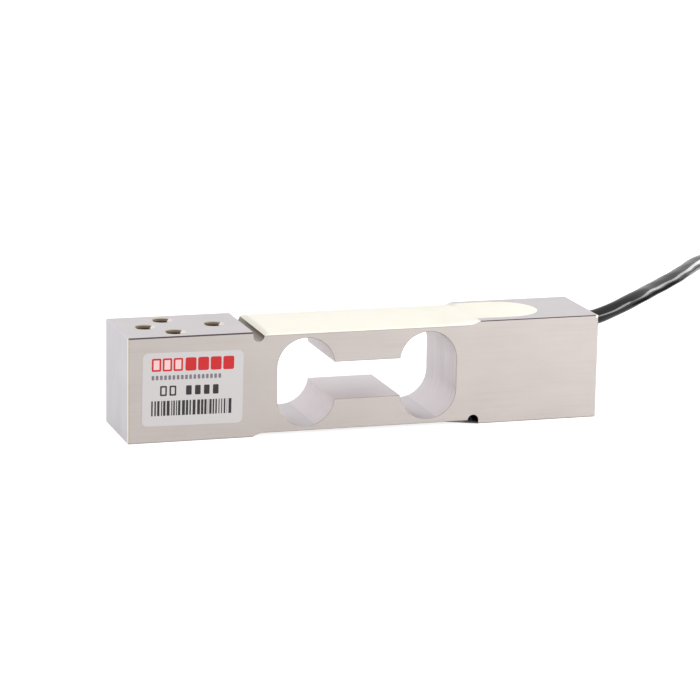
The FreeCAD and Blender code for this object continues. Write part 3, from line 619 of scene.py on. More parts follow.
@dataclass
class Camera:
    """The photograph's camera, found from the bar's eight corners."""

    place: tuple[float, float, float] = (-0.28482, -0.91043, 0.23796)
    yaw: float = -17.302
    tilt: float = 12.757
    roll: float = 0.928
    lens: float = 162.8
    sensor: float = 36.0
    clip: tuple[float, float] = (0.05, 20.0)

    def build(self) -> bpy.types.Object:
        """Makes the camera and sets it as the scene's own.

        Returns:
            The camera object.
        """
        data = bpy.data.cameras.new("camera")
        data.lens = self.lens
        data.sensor_width = self.sensor
        data.sensor_fit = "HORIZONTAL"
        data.clip_start, data.clip_end = self.clip
        made = linked("camera", data)
        turn = (
            Matrix.Rotation(math.radians(self.yaw), 4, "Z")
            @ Matrix.Rotation(math.radians(90 - self.tilt), 4, "X")
            @ Matrix.Rotation(math.radians(self.roll), 4, "Z")
        )
        made.matrix_world = Matrix.Translation(self.place) @ turn
        bpy.context.scene.camera = made
        return made


@dataclass
class Softbox:
    """A square or long soft lamp that faces the middle of the bar."""

    name: str
    azimuth: float
    elevation: float
    distance: float
    size: tuple[float, float]
    power: float

    def build(self, target: Vector) -> bpy.types.Object:
        """Makes the lamp.

        Args:
            target: the point that it faces.

        Returns:
            The lamp object.
        """
        data = bpy.data.lights.new(self.name, "AREA")
        data.shape = "RECTANGLE"
        data.size, data.size_y = self.size
        data.energy = self.power
        made = linked(self.name, data)
        turn, rise = math.radians(self.azimuth), math.radians(self.elevation)
        back = Vector((math.sin(turn) * math.cos(rise), -math.cos(turn) * math.cos(rise), math.sin(rise)))
        made.rotation_mode = "QUATERNION"
        made.rotation_quaternion = (-back).to_track_quat("-Z", "Y")
        made.location = target + back * self.distance
        return made


@dataclass
class Studio:
    """A white room: a plain floor, an even sky and two low soft lamps, which draw the cable's stripe."""

    floor_side: float = 6.0
    floor_colour: str = "C4C4C4"
    seen_glow: float = 0.72
    mirrored_glow: float = 0.44
    shadow_corner: tuple[float, float] = (0.0359, -0.0145)
    shadow_slant: float = 0.5
    shadow_reach: tuple[float, float] = (0.0362, 0.0145)
    sky: float = 0.86
    target: tuple[float, float, float] = (0, 0, 0.02)
    lamps: tuple[Softbox, ...] = (
        Softbox("front_strip", 52, 12, 1.1, (0.8, 0.36), 8.8),
        Softbox("side_strip", 105, 8, 1.1, (1.3, 0.24), 4.0),
    )

    def seen(self, tree: bpy.types.NodeTree) -> bpy.types.NodeSocket:
        """1 for rays of the camera and of mirror or glass reflections, else 0."""
        path = add_node(tree, "ShaderNodeLightPath").outputs
        first = add_node(tree, "ShaderNodeMath", {
            0: path["Is Camera Ray"], 1: path["Is Glossy Ray"]}, operation="MAXIMUM").outputs[0]
        return add_node(tree, "ShaderNodeMath", {
            0: first, 1: path["Is Transmission Ray"]}, operation="MAXIMUM").outputs[0]

    def glow(self, tree: bpy.types.NodeTree) -> bpy.types.NodeSocket:
        """What lifts the floor to white, for the camera's rays and, less, for reflected ones."""
        path = add_node(tree, "ShaderNodeLightPath").outputs
        mirrored = add_node(tree, "ShaderNodeMath", {
            0: self.seen(tree), 1: self.mirrored_glow}, operation="MULTIPLY").outputs[0]
        return add_node(tree, "ShaderNodeMath", {
            0: path["Is Camera Ray"], 1: self.seen_glow - self.mirrored_glow, 2: mirrored},
            operation="MULTIPLY_ADD").outputs[0]

    def painted_shadow_under_bar(self, tree: bpy.types.NodeTree) -> bpy.types.NodeSocket:
        """0 in a painted shadow patch deep under the bar and right up to its front by the relief groove,
        where the floor's glow is left out, else 1.
        """
        place = add_node(tree, "ShaderNodeSeparateXYZ", {
            0: add_node(tree, "ShaderNodeTexCoord").outputs["Object"]}).outputs
        shade = 1.0
        for way, reach in zip("XY", self.shadow_reach):
            inside = add_node(
                tree, "ShaderNodeMath", {0: place[way], 1: 0.0, 2: reach}, operation="COMPARE").outputs[0]
            shade = add_node(
                tree, "ShaderNodeMath", {0: inside, 1: shade}, operation="MULTIPLY").outputs[0]
        slanted = add_node(tree, "ShaderNodeMath", {
            0: place["X"], 1: self.shadow_slant, 2: place["Y"]}, operation="MULTIPLY_ADD").outputs[0]
        line = self.shadow_corner[0] * self.shadow_slant + self.shadow_corner[1]
        behind = add_node(
            tree, "ShaderNodeMath", {0: slanted, 1: line}, operation="GREATER_THAN").outputs[0]
        deep = add_node(tree, "ShaderNodeMath", {0: behind, 1: shade}, operation="MULTIPLY").outputs[0]
        return add_node(tree, "ShaderNodeMath", {0: 1.0, 1: deep}, operation="SUBTRACT").outputs[0]

    def build_floor(self) -> bpy.types.Object:
        """Makes the floor, which looks white where no shadow falls on it, and stays dark in a painted shadow
        patch under the bar.

        Returns:
            The floor object.
        """
        shape = bmesh.new()
        bmesh.ops.create_grid(shape, x_segments=1, y_segments=1, size=self.floor_side / 2)
        floor = mesh_piece("floor", shape)
        material, tree = new_material("white_floor")
        tree.nodes.remove(tree.nodes["Principled BSDF"])
        paper = add_node(tree, "ShaderNodeBsdfDiffuse", {"Color": srgb(self.floor_colour)})
        # Painted shadow: the glow is left out in a patch under the bar.
        glow = add_node(tree, "ShaderNodeMath", {
            0: self.glow(tree), 1: self.painted_shadow_under_bar(tree)}, operation="MULTIPLY").outputs[0]
        light = add_node(tree, "ShaderNodeEmission", {"Strength": glow})
        both = add_node(tree, "ShaderNodeAddShader", {0: paper.outputs[0], 1: light.outputs[0]})
        set_inputs(tree, tree.nodes["Material Output"], {"Surface": both.outputs[0]})
        floor.data.materials.append(material)
        return floor

    def build_sky(self) -> None:
        """Sets the world: white to the eye and in reflections, softer as a light."""
        world = bpy.data.worlds.new("sky")
        bpy.context.scene.world = world
        world.use_nodes = True
        tree = world.node_tree
        tree.nodes.clear()
        dim = add_node(tree, "ShaderNodeBackground", {"Color": (1, 1, 1, 1), "Strength": self.sky})
        white = add_node(tree, "ShaderNodeBackground", {"Color": (1, 1, 1, 1), "Strength": 1.0})
        both = add_node(tree, "ShaderNodeMixShader", {
            0: self.seen(tree), 1: dim.outputs[0], 2: white.outputs[0]})
        add_node(tree, "ShaderNodeOutputWorld", {"Surface": both.outputs[0]})

    def build(self) -> None:
        """Makes the floor, the sky and the lamps, and sets the plain view transform."""
        self.build_floor()
        self.build_sky()
        for lamp in self.lamps:
            lamp.build(Vector(self.target))
        bpy.context.scene.view_settings.view_transform = "Standard"


# The cable and what is on it

@dataclass
class SignalCable:
    """The four core cable: its route to the stored coil, its turns and its stripped far end."""

    radius: float = 2.4 * MM
    lobe: float = 0.035 * MM
    lobes: int = 4
    lay: float = 56 * MM
    sides: int = 32
    steps: int = 10
    run: tuple = (
        (70.2, 0, 28), (77.1, 0, 28), (83.8, 1.1, 29.4), (96.2, 6.6, 32.6), (107, 19, 32.5),
        (122, 33, 33.7), (139, 55, 33.8), (151, 66.5, 30.3), (167, 73.5, 25.5), (184.5, 72.5, 21.3),
        (199.5, 64, 18.8), (208.5, 51, 17.85),
    )
    tail: tuple = ((183.48, -3.59, 3.2), (170.5, -5.95, 3), (156.5, -6.4, 3))
    centre: tuple[float, float] = (176.5, 36.0)
    inner_column: float = 20.65
    pitch: float = 4.9
    floor_level: float = 3.2
    start_bearing: float = 25.0
    end_bearing: float = -80.0
    full_turns: int = 10
    points_per_turn: int = 16
    entry_level: float = 17.85
    entry_length: float = 0.15
    exit_radius: float = 40.2
    exit_length: float = 0.12
    # The column and layer that each turn lies in, from the first on top to the last on the floor.
    order: tuple = ((4, 3), (3, 3), (2, 3), (1, 3), (1, 2), (1, 1), (2, 1), (2, 2), (3, 2), (4, 2), (4, 1))
    # Where the cable crosses from each place to the next, in turns from the start of the coil.
    crossings: tuple = (0.9, 1.9, 2.9, 3.78, 4.78, 5.66, 6.54, 7.42, 8.42, 9.3)
    crossing_length: float = 0.11
    pieces: list[bpy.types.Object] = field(default_factory=list)
    path: list[Vector] = field(default_factory=list)

    def place_in_coil(self, turn: float, last: float) -> tuple[float, float]:
        """Radius and height of the cable in the coil, in millimetres.

        Args:
            turn: how far along the coil, in turns.
            last: the coil's whole length in turns.

        Returns:
            The distance from the coil's axis and the height.
        """
        column, layer = self.order[0]
        for crossing, target in zip(self.crossings, self.order[1:]):
            share = ease((turn - crossing) / self.crossing_length + 0.5)
            column += share * (target[0] - column)
            layer += share * (target[1] - layer)
        radius = self.inner_column + (column - 1) * self.pitch
        height = self.floor_level + (layer - 1) * self.pitch
        entering = ease(1 - turn / self.entry_length)
        leaving = ease((turn - last) / self.exit_length + 1)
        radius += leaving * (self.exit_radius - radius)
        height += entering * (self.entry_level - height)
        return radius, height

    def coil(self) -> list[Vector]:
        """The turns of the coil, without its two ends, which belong to the run and the tail."""
        last = self.full_turns + (self.start_bearing - self.end_bearing) / 360
        count = round(last * self.points_per_turn)
        inside = math.cos(math.pi / self.points_per_turn)
        spots = []
        for number in range(1, count):
            turn = last * number / count
            radius, height = self.place_in_coil(turn, last)
            bearing = math.radians(self.start_bearing) - math.tau * turn
            reach = radius / inside
            x = self.centre[0] + reach * math.cos(bearing)
            y = self.centre[1] + reach * math.sin(bearing)
            spots.append(Vector((x, y, height)))
        return spots

    def route(self) -> list[Vector]:
        """The control points of the whole cable, in metres."""
        spots = [Vector(p) for p in self.run] + self.coil() + [Vector(p) for p in self.tail]
        return [spot * MM for spot in spots]

    def section(self) -> bpy.types.Object:
        """The jacket's outline over the twisted cores, a round with shallow lobes."""
        curve = bpy.data.curves.new("jacket_outline", "CURVE")
        curve.dimensions = "2D"
        spline = curve.splines.new("POLY")
        spline.points.add(self.sides - 1)
        for number, spot in enumerate(spline.points):
            bearing = math.tau * number / self.sides
            reach = self.radius - self.lobe + self.lobe * math.cos(self.lobes * bearing)
            spot.co = (reach * math.cos(bearing), reach * math.sin(bearing), 0, 1)
        spline.use_cyclic_u = True
        return linked("jacket_outline", curve)

    def build(self, palette: Palette) -> bpy.types.Object:
        """Makes the jacket.

        Args:
            palette: the finishes.

        Returns:
            The cable's mesh object.
        """
        spots = self.route()
        lengths = [0.0]
        for before, after in zip(spots, spots[1:]):
            lengths.append(lengths[-1] + (after - before).length)
        twist = [math.tau * length / self.lay for length in lengths]
        curve = nurbs_curve("cable_route", spots, twist, self.steps)
        self.path = [vertex.co.copy() for vertex in baked(curve).vertices]
        outline = self.section()
        curve.data.bevel_mode = "OBJECT"
        curve.data.bevel_object = outline
        curve.data.use_fill_caps = True
        shape = bmesh.new()
        shape.from_mesh(baked(curve))
        bpy.data.objects.remove(curve)
        bpy.data.objects.remove(outline)
        cable = mesh_piece("signal_cable", shape, smooth_below=60)
        palette.dress(cable, Slot.JACKET, "cable_run", "cable_coil", "cable_tail")
        return cable


@dataclass
class FarEnd:
    """The shrunk sleeve and the five stripped leads at the cable's end, in millimetres."""

    cable: SignalCable
    # The sleeve's outline: how far past the cable's end, and how far from its middle line.
    profile: tuple = (
        (-7, 2.6), (-6.75, 2.9), (-0.3, 2.9), (1.2, 2.55), (4.8, 2.15), (5.8, 2.2), (6, 2.05),
        (5.8, 1.95), (0.1, 1.95), (0, 2.2), (-7, 2.2),
    )
    profile_steps: int = 40
    lead_radius: float = 0.62
    drain_radius: float = 0.4
    stripped: float = 4.5
    strand_radius: float = 0.36
    # Each lead's way from the cable's end: forward, to the side and up from the floor.
    routes: dict = field(default_factory=lambda: {
        "lead_red": ((7.5, -0.75, 3.75), (17, -3.8, 0.8), (26, -4.8, 0.66), (33, -6.6, 0.66)),
        "lead_black": ((6.5, -0.75, 2.25), (13.5, -1.2, 0.72), (21.5, -1.4, 0.66), (28, -2.4, 0.66)),
        "lead_green": ((6.5, 0.75, 2.25), (13.5, 1.4, 0.72), (21.5, 2.2, 0.66), (27.5, 1.9, 0.66)),
        "lead_white": ((7.5, 0.75, 3.75), (17, 4.2, 0.8), (26, 4.8, 0.66), (33, 6, 0.66)),
        "lead_drain": ((7.5, 0, 3), (16, 0.1, 0.55), (24, 0.4, 0.44), (29.5, -0.4, 0.44)),
    })

    def axes(self) -> tuple[Vector, Vector, Vector]:
        """The cable's end in millimetres, its direction and the way to its side."""
        last, before = Vector(self.cable.tail[-1]), Vector(self.cable.tail[-2])
        along = (last - before).normalized()
        return last, along, Vector((0, 0, 1)).cross(along).normalized()

    def lead(self, node: str, slot: Slot, palette: Palette) -> None:
        """Makes one lead: its insulation and the tinned strands that stand out of it.

        Args:
            node: the lead's CAD node.
            slot: its finish.
            palette: the finishes.
        """
        last, along, aside = self.axes()
        steps = self.routes[node]
        route = []
        for distance, offset, level in ((0, steps[0][1], steps[0][2]), *steps):
            spot = last + along * distance + aside * offset
            route.append(Vector((spot.x, spot.y, level)) * MM)
        if slot is Slot.DRAIN:
            wire = tube(node.replace("lead", "bare"), route, self.drain_radius * MM)
            palette.dress(wire, slot, node)
            self.cable.pieces.append(wire)
            return
        end, run = route[-1], (route[-1] - route[-2]).normalized()
        cut = end - run * self.stripped * MM
        insulation = tube(node.replace("lead", "insulated"), route[:-1] + [cut], self.lead_radius * MM)
        palette.dress(insulation, slot, node)
        strands = tube(node.replace("lead", "strands"), [cut - run * MM, cut + run * MM, end],
                       self.strand_radius * MM)
        palette.dress(strands, Slot.DRAIN)
        self.cable.pieces += [insulation, strands]

    def sleeve(self, palette: Palette) -> None:
        """Makes the sleeve, a turned tube that narrows where it has shrunk past the jacket."""
        last, along, aside = self.axes()
        shape = bmesh.new()
        corners = [shape.verts.new((reach * MM, radius * MM, 0)) for reach, radius in self.profile]
        edges = [shape.edges.new((a, b)) for a, b in zip(corners, corners[1:] + corners[:1])]
        bmesh.ops.spin(
            shape, geom=corners + edges, cent=(0, 0, 0), axis=(1, 0, 0), angle=math.tau,
            steps=self.profile_steps, use_merge=True)
        basis = Matrix((along, aside, along.cross(aside))).transposed().to_4x4()
        bmesh.ops.transform(shape, matrix=Matrix.Translation(last * MM) @ basis, verts=shape.verts)
        sleeve = mesh_piece("shrunk_sleeve", shape)
        palette.dress(sleeve, Slot.SLEEVE, "end_sleeve")
        self.cable.pieces.append(sleeve)

    def build(self, palette: Palette) -> None:
        """Makes the sleeve and the leads."""
        self.sleeve(palette)
        for node, slot in (
            ("lead_red", Slot.RED_CORE), ("lead_black", Slot.BLACK_CORE), ("lead_green", Slot.GREEN_CORE),
            ("lead_white", Slot.WHITE_CORE), ("lead_drain", Slot.DRAIN),
        ):
            self.lead(node, slot, palette)


@dataclass
class CoilTies:
    """The two nylon ties that hold the coil, in millimetres."""

    cable: SignalCable
    thickness: float = 0.8
    width: float = 4.0
    columns: int = 4
    layers: int = 3
    corner: float = 1.9
    corner_steps: int = 6
    bearings: tuple = (("near", -32.0), ("far", 195.0))
    head: tuple[float, float, float] = (5.4, 4.6, 2.6)
    head_round: float = 0.5
    head_setback: float = 1.5
    head_sunk: float = 0.15
    stub_length: float = 3.2
    stub_narrowing: float = 0.6
    stub_setback: float = 5.2
    stub_rise: float = 1.2

    def band(self) -> bmesh.types.BMesh:
        """The band round the coil's section, with its middle on the X axis."""
        low = self.cable.radius / MM
        across = (self.columns - 1) * self.cable.pitch + 2 * low
        tall = (self.layers - 1) * self.cable.pitch + 2 * low
        middle = self.cable.inner_column + (self.columns - 1) * self.cable.pitch / 2
        shape = bmesh.new()
        bmesh.ops.create_cube(shape, size=1)
        bmesh.ops.scale(shape, vec=(across, self.width, tall), verts=shape.verts)
        long_edges = [e for e in shape.edges if abs(e.verts[0].co.y - e.verts[1].co.y) > self.width / 2]
        round_off(shape, long_edges, self.corner, self.corner_steps)
        ends = [f for f in shape.faces if abs(f.normal.y) > 0.9]
        bmesh.ops.delete(shape, geom=ends, context="FACES_ONLY")
        bmesh.ops.recalc_face_normals(shape, faces=shape.faces)
        bmesh.ops.solidify(shape, geom=shape.faces, thickness=-self.thickness)
        bmesh.ops.translate(shape, vec=(middle, 0, self.thickness + tall / 2), verts=shape.verts)
        return shape

    def lock(self, shape: bmesh.types.BMesh) -> None:
        """Adds the tie's head and the cut end of its strap on top of the coil."""
        top = 2 * self.thickness + (self.layers - 1) * self.cable.pitch + 2 * self.cable.radius / MM
        middle = self.cable.inner_column + (self.columns - 1) * self.cable.pitch
        made = bmesh.ops.create_cube(shape, size=1)["verts"]
        bmesh.ops.scale(shape, vec=self.head, verts=made)
        edges = list({e for v in made for e in v.link_edges})
        rounded = round_off(shape, edges, self.head_round, 3)["faces"]
        verts = list({v for f in rounded for v in f.verts} | {v for v in made if v.is_valid})
        on_top = (middle - self.head_setback, 0, top - self.head_sunk + self.head[2] / 2)
        bmesh.ops.translate(shape, vec=on_top, verts=verts)
        stub = bmesh.ops.create_cube(shape, size=1)["verts"]
        stub_size = (self.stub_length, self.width - self.stub_narrowing, self.thickness)
        bmesh.ops.scale(shape, vec=stub_size, verts=stub)
        bmesh.ops.translate(shape, vec=(middle - self.stub_setback, 0, top + self.stub_rise), verts=stub)

    def build(self, palette: Palette) -> None:
        """Makes both ties."""
        for name, bearing in self.bearings:
            shape = self.band()
            self.lock(shape)
            place = (
                Matrix.Translation(Vector((*self.cable.centre, 0)) * MM)
                @ Matrix.Rotation(math.radians(bearing), 4, "Z") @ Matrix.Scale(MM, 4)
            )
            bmesh.ops.transform(shape, matrix=place, verts=shape.verts)
            tie = mesh_piece(f"nylon_tie_{name}", shape)
            palette.dress(tie, Slot.TIE, f"coil_tie_{name}")
            self.cable.pieces.append(tie)


# The bar

@dataclass
class ElasticBar:
    """The threads of the bar's eight holes, in millimetres; the bar's own shape is the CAD node's."""

    bore: float = 2.5
    crest: float = 2.18
    sunk: float = 0.04
    thread_pitch: float = 1.0
    root_share: float = 0.47
    crest_share: float = 0.08
    mouth_depth: float = 0.9
    thread_depth: float = 13.4
    steps_per_turn: int = 28
    row_pitch: float = 21.5
    pair_pitch: float = 16.6
    pair_setback: float = 16.0

    def hole_centres(self, half_length: float) -> dict[str, Vector]:
        """The holes of the live block, as they lie from the bar's end, in millimetres."""
        row = half_length - BLOCK_LENGTH / 2
        pair = half_length - self.pair_setback
        return {
            "outer": Vector((-row - self.row_pitch / 2, 0, 0)),
            "inner": Vector((-row + self.row_pitch / 2, 0, 0)),
            "front": Vector((-pair, -self.pair_pitch / 2, 0)),
            "back": Vector((-pair, self.pair_pitch / 2, 0)),
        }

    def thread(self, name: str, mouth: Vector, inward: float, palette: Palette) -> None:
        """Makes the ridges of one thread: a wedge swept along a helix down the bore.

        Args:
            name: the piece's name.
            mouth: the middle of the hole's mouth in millimetres.
            inward: -1 for a hole that goes down, 1 for one that goes up.
            palette: the finishes.
        """
        turns = round(self.thread_depth / self.thread_pitch)
        root, half_root = self.bore + self.sunk, self.root_share * self.thread_pitch
        half_crest = self.crest_share * self.thread_pitch
        wedge = ((root, -half_root), (self.crest, -half_crest), (self.crest, half_crest), (root, half_root))
        shape = bmesh.new()
        start = mouth.z + inward * self.mouth_depth
        corners = [shape.verts.new((mouth.x + r, mouth.y, start + h)) for r, h in wedge]
        face = shape.faces.new(corners)
        bmesh.ops.spin(
            shape, geom=[face, *face.edges, *face.verts], cent=mouth, axis=(0, 0, 1),
            dvec=(0, 0, inward * self.thread_pitch / self.steps_per_turn), angle=inward * math.tau * turns,
            steps=self.steps_per_turn * turns, use_merge=False, use_duplicate=False)
        to_metres(shape)
        piece = mesh_piece(name, shape, smooth_below=50)
        palette.dress(piece, Slot.STEEL)

    def build(self, palette: Palette) -> None:
        """Makes the threads of both blocks; the fixed one's pattern is the live one's, turned half round."""
        low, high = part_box("elastic_body")
        for where, centre in self.hole_centres(high.x / MM).items():
            top = Vector((centre.x, centre.y, high.z / MM))
            self.thread(f"thread_live_{where}", top, -1, palette)
            under = Vector((-centre.x, -centre.y, low.z / MM))
            self.thread(f"thread_fixed_{where}", under, 1, palette)


@dataclass
class PottingFill:
    """The cream compound: a slab over the upper gauges, a tongue in the pocket and a layer underneath.

    All its sizes are in millimetres.
    """

    edge_rise: float = 0.42
    crown: float = 0.43
    root: float = 0.1
    side_gap: float = 0.03
    meniscus: float = 1.5
    film: float = 0.02
    soft: float = 0.08
    ramp: float = 15.0
    ramp_back: float = 0.45
    rim: float = 0.2
    rim_steps: int = 4
    blend_radius: float = 8.0
    pocket_width: float = 21.0
    pocket_end_wall: float = 15.6
    spill: float = 1.3
    tongue_crown: float = 0.06
    tongue_sunk: float = 0.01
    tongue_rim: float = 0.5
    tongue_deep: float = 1.4
    drawn_in: float = 3.6
    layer_depth: float = 0.8
    stations: int = 120
    lanes: int = 20
    round_steps: int = 96
    same: float = 1e-4

    def floor_at(self, x: float, end: float, floor: float) -> float:
        """Height of the recess floor, with the round blend that climbs out of it.

        Args:
            x: the place along the bar, in millimetres.
            end: where the blend reaches the block's top.
            floor: height of the flat floor.

        Returns:
            The height of the steel there, in millimetres.
        """
        radius = self.blend_radius
        run = math.sqrt(RECESS * (2 * radius - RECESS))
        into = min(run, max(0.0, x - end + run))
        return floor + radius - math.sqrt(radius * radius - into * into)

    def skin_at(self, x: float, across: float, start: float, end: float, floor: float) -> float:
        """Height of the slab's skin: crowned, thin at its start, and climbing gently to the block's top.

        Along the back edge it stays low, and is only a film on the steel's own blend.

        Args:
            x: the place along the bar, in millimetres.
            across: the place across it, from -1 to 1.
            start: where the slab begins.
            end: where it meets the block's top.
            floor: height of the recess floor.

        Returns:
            The height in millimetres.
        """
        rise = self.edge_rise + self.crown * (1 - across * across)
        poured = floor + self.film + (rise - self.film) * ease((x - start) / self.meniscus)
        behind = ease((across - self.ramp_back) / (1 - self.ramp_back))
        climb = ease((x - end + self.ramp) / self.ramp) * (1 - behind)
        poured += climb * (floor + RECESS + self.film - poured)
        climbing = self.floor_at(x, end, floor) + self.film
        return (poured + climbing + math.hypot(poured - climbing, self.soft)) / 2

    def slab(self, palette: Palette) -> None:
        """Makes the slab: a plate, rounded along its sides, which is then laid on the floor and crowned."""
        bar_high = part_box("elastic_body")[1] / MM
        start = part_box("potting_top")[0].x / MM
        end = bar_high.x - BLOCK_LENGTH
        floor = bar_high.z - RECESS
        half, thick = bar_high.y - self.side_gap, self.root + self.edge_rise
        shape = bmesh.new()
        bmesh.ops.create_grid(shape, x_segments=self.stations, y_segments=self.lanes, size=0.5)
        bmesh.ops.scale(shape, vec=(end - start, 2 * half, 1), verts=shape.verts)
        bmesh.ops.translate(shape, vec=((start + end) / 2, 0, thick), verts=shape.verts)
        lowered = new_points(bmesh.ops.extrude_face_region(shape, geom=list(shape.faces)))
        bmesh.ops.translate(shape, vec=(0, 0, -thick), verts=lowered)
        sides = [
            edge for edge in shape.edges
            if all(max(abs(v.co.z - thick), abs(abs(v.co.y) - half)) < self.same for v in edge.verts)
        ]
        round_off(shape, sides, self.rim, self.rim_steps)
        for vertex in shape.verts:
            share = vertex.co.z / thick
            under = self.floor_at(vertex.co.x, end, floor) - self.root
            skin = self.skin_at(vertex.co.x, vertex.co.y / half, start, end, floor)
            vertex.co.z = under + share * (skin - under)
        to_metres(shape)
        slab = mesh_piece("potting_slab", shape)
        palette.dress(slab, Slot.POTTING, "potting_top")

    def tongue(self, palette: Palette) -> None:
        """Makes the round ended tongue that fills the pocket, flush with the block but spilt at its back."""
        bar_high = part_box("elastic_body")[1] / MM
        radius = self.pocket_width / 2
        tip = bar_high.x - self.pocket_end_wall - radius
        start = bar_high.x - BLOCK_LENGTH
        shape = bmesh.new()
        bmesh.ops.create_circle(shape, cap_ends=True, segments=self.round_steps, radius=radius)
        bmesh.ops.bisect_plane(
            shape, geom=list(shape.verts) + list(shape.edges) + list(shape.faces), plane_co=(0, 0, 0),
            plane_no=(1, 0, 0), clear_inner=True)
        straight = [e for e in shape.edges if all(abs(v.co.x) < self.same for v in e.verts)]
        pulled = new_points(bmesh.ops.extrude_edge_only(shape, edges=straight))
        bmesh.ops.translate(shape, vec=(start - tip, 0, 0), verts=pulled)
        behind = [vertex for vertex in shape.verts if vertex.co.y > 0]
        bmesh.ops.scale(shape, vec=(1, 1 + self.spill / radius, 1), verts=behind)
        bmesh.ops.translate(shape, vec=(tip, 0, bar_high.z + self.tongue_crown), verts=shape.verts)
        rim_faces = bmesh.ops.inset_region(
            shape, faces=list(shape.faces), thickness=self.tongue_rim, use_boundary=True)["faces"]
        outer = {v for f in rim_faces for v in f.verts if v.is_boundary}
        bmesh.ops.translate(shape, vec=(0, 0, -self.tongue_crown - self.tongue_sunk), verts=list(outer))
        for vertex in new_points(bmesh.ops.extrude_face_region(shape, geom=list(shape.faces))):
            vertex.co.z = bar_high.z - self.tongue_deep
        to_metres(shape)
        tongue = mesh_piece("potting_tongue", shape)
        palette.dress(tongue, Slot.POTTING, "potting_top")

    def layer(self, palette: Palette) -> None:
        """Makes the thin layer over the lower gauges, drawn in from the bar's sides."""
        low, high = (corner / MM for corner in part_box("potting_bottom"))
        half = high.y - self.drawn_in
        shape = bmesh.new()
        bmesh.ops.create_cube(shape, size=1)
        bmesh.ops.scale(shape, vec=(high.x - low.x, 2 * half, self.layer_depth), verts=shape.verts)
        middle = ((low.x + high.x) / 2, 0, RECESS + self.film - self.layer_depth / 2)
        bmesh.ops.translate(shape, vec=middle, verts=shape.verts)
        rims = [edge for edge in shape.edges if all(v.co.z < RECESS - self.film for v in edge.verts)]
        round_off(shape, rims, self.rim, self.rim_steps)
        to_metres(shape)
        layer = mesh_piece("potting_layer", shape)
        palette.dress(layer, Slot.POTTING, "potting_bottom")

    def build(self, palette: Palette) -> None:
        """Makes the slab, the tongue and the lower layer."""
        self.slab(palette)
        self.tongue(palette)
        self.layer(palette)


# The label

@dataclass(frozen=True)
class Field:
    """A plain printed field on the label, placed from its upper left corner, in millimetres."""

    left: float
    top: float
    width: float
    height: float
    corner: float = 0.15


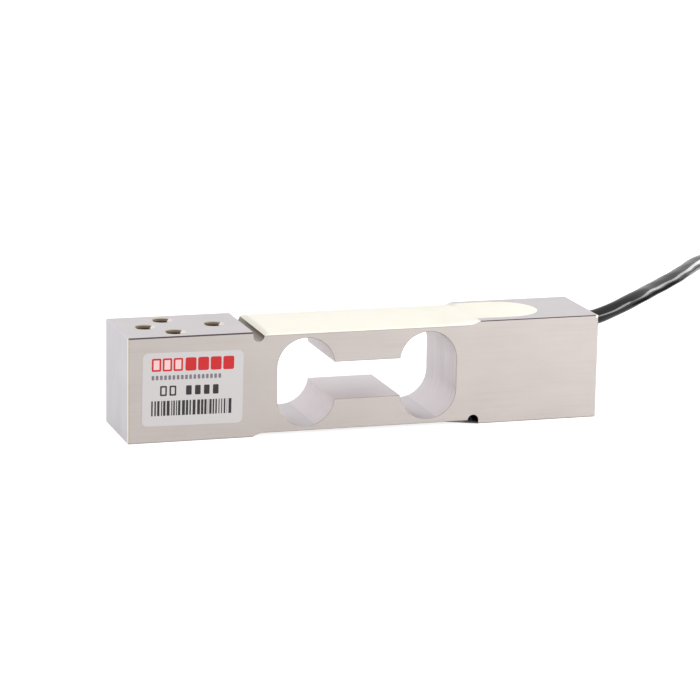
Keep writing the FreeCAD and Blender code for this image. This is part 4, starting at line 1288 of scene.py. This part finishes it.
@dataclass
class PrintedLabel:
    """The film label on the live block, with plain printed fields and bars, in millimetres."""

    width: float = 31.2
    height: float = 22.5
    corner: float = 1.7
    film: float = 0.08
    tilt: float = 0.75
    bars_left: float = 2.85
    bars_right: float = 28.1
    bars_top: float = 14.8
    bars_height: float = 4.6
    bars_end: float = 0.6
    bar_corner: float = 0.03
    bar_widths: tuple[float, ...] = (0.24, 0.32, 0.48, 0.48, 0.72, 0.9)
    bar_gaps: tuple[float, ...] = (0.3, 0.38, 0.5)
    thin_below: float = 0.3
    pale_share: float = 0.7
    seed: int = 11
    # How far the first layer of ink and the one printed on it stand off the film.
    ink_steps: tuple[float, float] = (0.0084, 0.012)
    least_corner: float = 0.1

    def plate(self, shape: bmesh.types.BMesh, area: Field, base: float, thickness: float) -> None:
        """Adds a thin plate with round corners, on the label's own plane.

        Args:
            shape: the bmesh that gets it.
            area: where it lies.
            base: how far its back is off the bar's side.
            thickness: how thick it is.
        """
        made = bmesh.ops.create_grid(shape, x_segments=1, y_segments=1, size=0.5)["verts"]
        bmesh.ops.scale(shape, vec=(area.width, area.height, 1), verts=made)
        corners = round_off(shape, made, area.corner, 6, "VERTICES")["verts"]
        verts = set(corners) | {v for v in made if v.is_valid}
        faces = list({f for v in verts for f in v.link_faces})
        raised = new_points(bmesh.ops.extrude_face_region(shape, geom=faces))
        bmesh.ops.translate(shape, vec=(0, 0, thickness), verts=raised)
        across = area.left + area.width / 2 - self.width / 2
        up = self.height / 2 - area.top - area.height / 2
        bmesh.ops.translate(shape, vec=(across, up, base), verts=list(verts) + raised)

    def settle(self, name: str, shape: bmesh.types.BMesh) -> bpy.types.Object:
        """Stands a shape drawn on the label's plane on the bar's side, where the label is."""
        low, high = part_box("adhesive_label")
        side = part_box("elastic_body")[0].y
        middle = Vector(((low.x + high.x) / 2, side, (low.z + high.z) / 2))
        place = (
            Matrix.Translation(middle) @ Matrix.Rotation(math.radians(self.tilt), 4, "Y")
            @ Matrix.Rotation(math.radians(90), 4, "X") @ Matrix.Scale(MM, 4)
        )
        bmesh.ops.transform(shape, matrix=place, verts=shape.verts)
        return mesh_piece(name, shape, smooth_below=20)

    def bars(self) -> tuple[list[Field], list[Field]]:
        """A row of upright bars of uneven widths, drawn from a fixed seed.

        Returns:
            The black bars, and the few thin ones that are printed pale.
        """
        chance = random.Random(self.seed)
        black, pale, left = [], [], self.bars_left
        while left < self.bars_right - self.bars_end:
            width = chance.choice(self.bar_widths)
            thin = width < self.thin_below and chance.random() < self.pale_share
            (pale if thin else black).append(
                Field(left, self.bars_top, width, self.bars_height, self.bar_corner))
            left += width + chance.choice(self.bar_gaps)
        return black, pale

    def row(self, first: Field, count: int, gap: float) -> list[Field]:
        """Like fields in a row, from the first one."""
        return [
            replace(first, left=first.left + number * (first.width + gap))
            for number in range(count)]

    def within(self, areas: list[Field], rim: float) -> list[Field]:
        """A smaller field in the middle of each field."""
        return [
            Field(one.left + rim, one.top + rim, one.width - 2 * rim, one.height - 2 * rim,
                  max(self.least_corner, one.corner - rim))
            for one in areas]

    def build(self, palette: Palette) -> None:
        """Makes the film and its printed fields."""
        shape = bmesh.new()
        self.plate(shape, Field(0, 0, self.width, self.height, self.corner), 0, self.film)
        label = self.settle("label_film", shape)
        palette.dress(label, Slot.LABEL, "adhesive_label")
        black, pale = self.bars()
        open_red = self.row(Field(2.85, 1.75, 2.9, 4.0, 0.45), 3, 0.45)
        open_black = self.row(Field(5.5, 10.2, 2.1, 3.1, 0.3), 2, 0.8)
        # Printed fields in satin ink, a shade uneven: two near colours, the ink's layer and the fields.
        inks = {
            "red": ("CC1820", "BE1018", 0, open_red + self.row(Field(13.2, 1.7, 3.4, 4.1, 0.6), 4, 0.5)),
            "pink": ("F6CDCD", "F0C2C3", 1, self.within(open_red, 0.55)),
            "grey": ("7D757C", "726A72", 0, self.row(Field(2.85, 7.0, 0.8, 1.35, 0.2), 17, 0.49)),
            "black": ("241D22", "1C151A", 0, [
                *open_black, *self.row(Field(13.5, 10.3, 1.75, 2.9, 0.3), 4, 1.03), *black]),
            "pale": ("A39299", "98878F", 0, pale),
            "clear": ("D0CCCC", "C9C5C5", 1, self.within(open_black, 0.5)),
        }
        for name, (light, dark, layer, fields) in inks.items():
            shape = bmesh.new()
            for area in fields:
                self.plate(shape, area, self.film, self.ink_steps[layer])
            piece = self.settle(f"label_print_{name}", shape)
            ink = Finish(f"{name}_ink", light, dark, (0.4, 0.5), 0.35, relief=0.003)
            palette.dress(piece, Slot.LABEL, ink=ink)


def dress_nodes(palette: Palette) -> None:
    """Gives each CAD node that stays in view the finish of its material slot."""
    for part in frame["record"]["subparts"]:
        node = frame["nodes"][part["node"]]
        material = palette.get(Slot(part["material_slot"]))
        for slot in node.material_slots:
            slot.material = material
        if not node.material_slots:
            node.data.materials.append(material)
        log.info("node %s: %s", part["node"], material.name)


def main() -> None:
    """Builds the camera, the cable and then the rest of the load cell."""
    logging.basicConfig(level=logging.INFO, format="%(message)s")
    palette = Palette()
    Camera().build()
    cable = SignalCable()
    jacket = cable.build(palette)
    CoilTies(cable).build(palette)
    FarEnd(cable).build(palette)
    Studio().build()
    ElasticBar().build(palette)
    PottingFill().build(palette)
    PrintedLabel().build(palette)
    dress_nodes(palette)


if __name__ == "__main__":
    main()
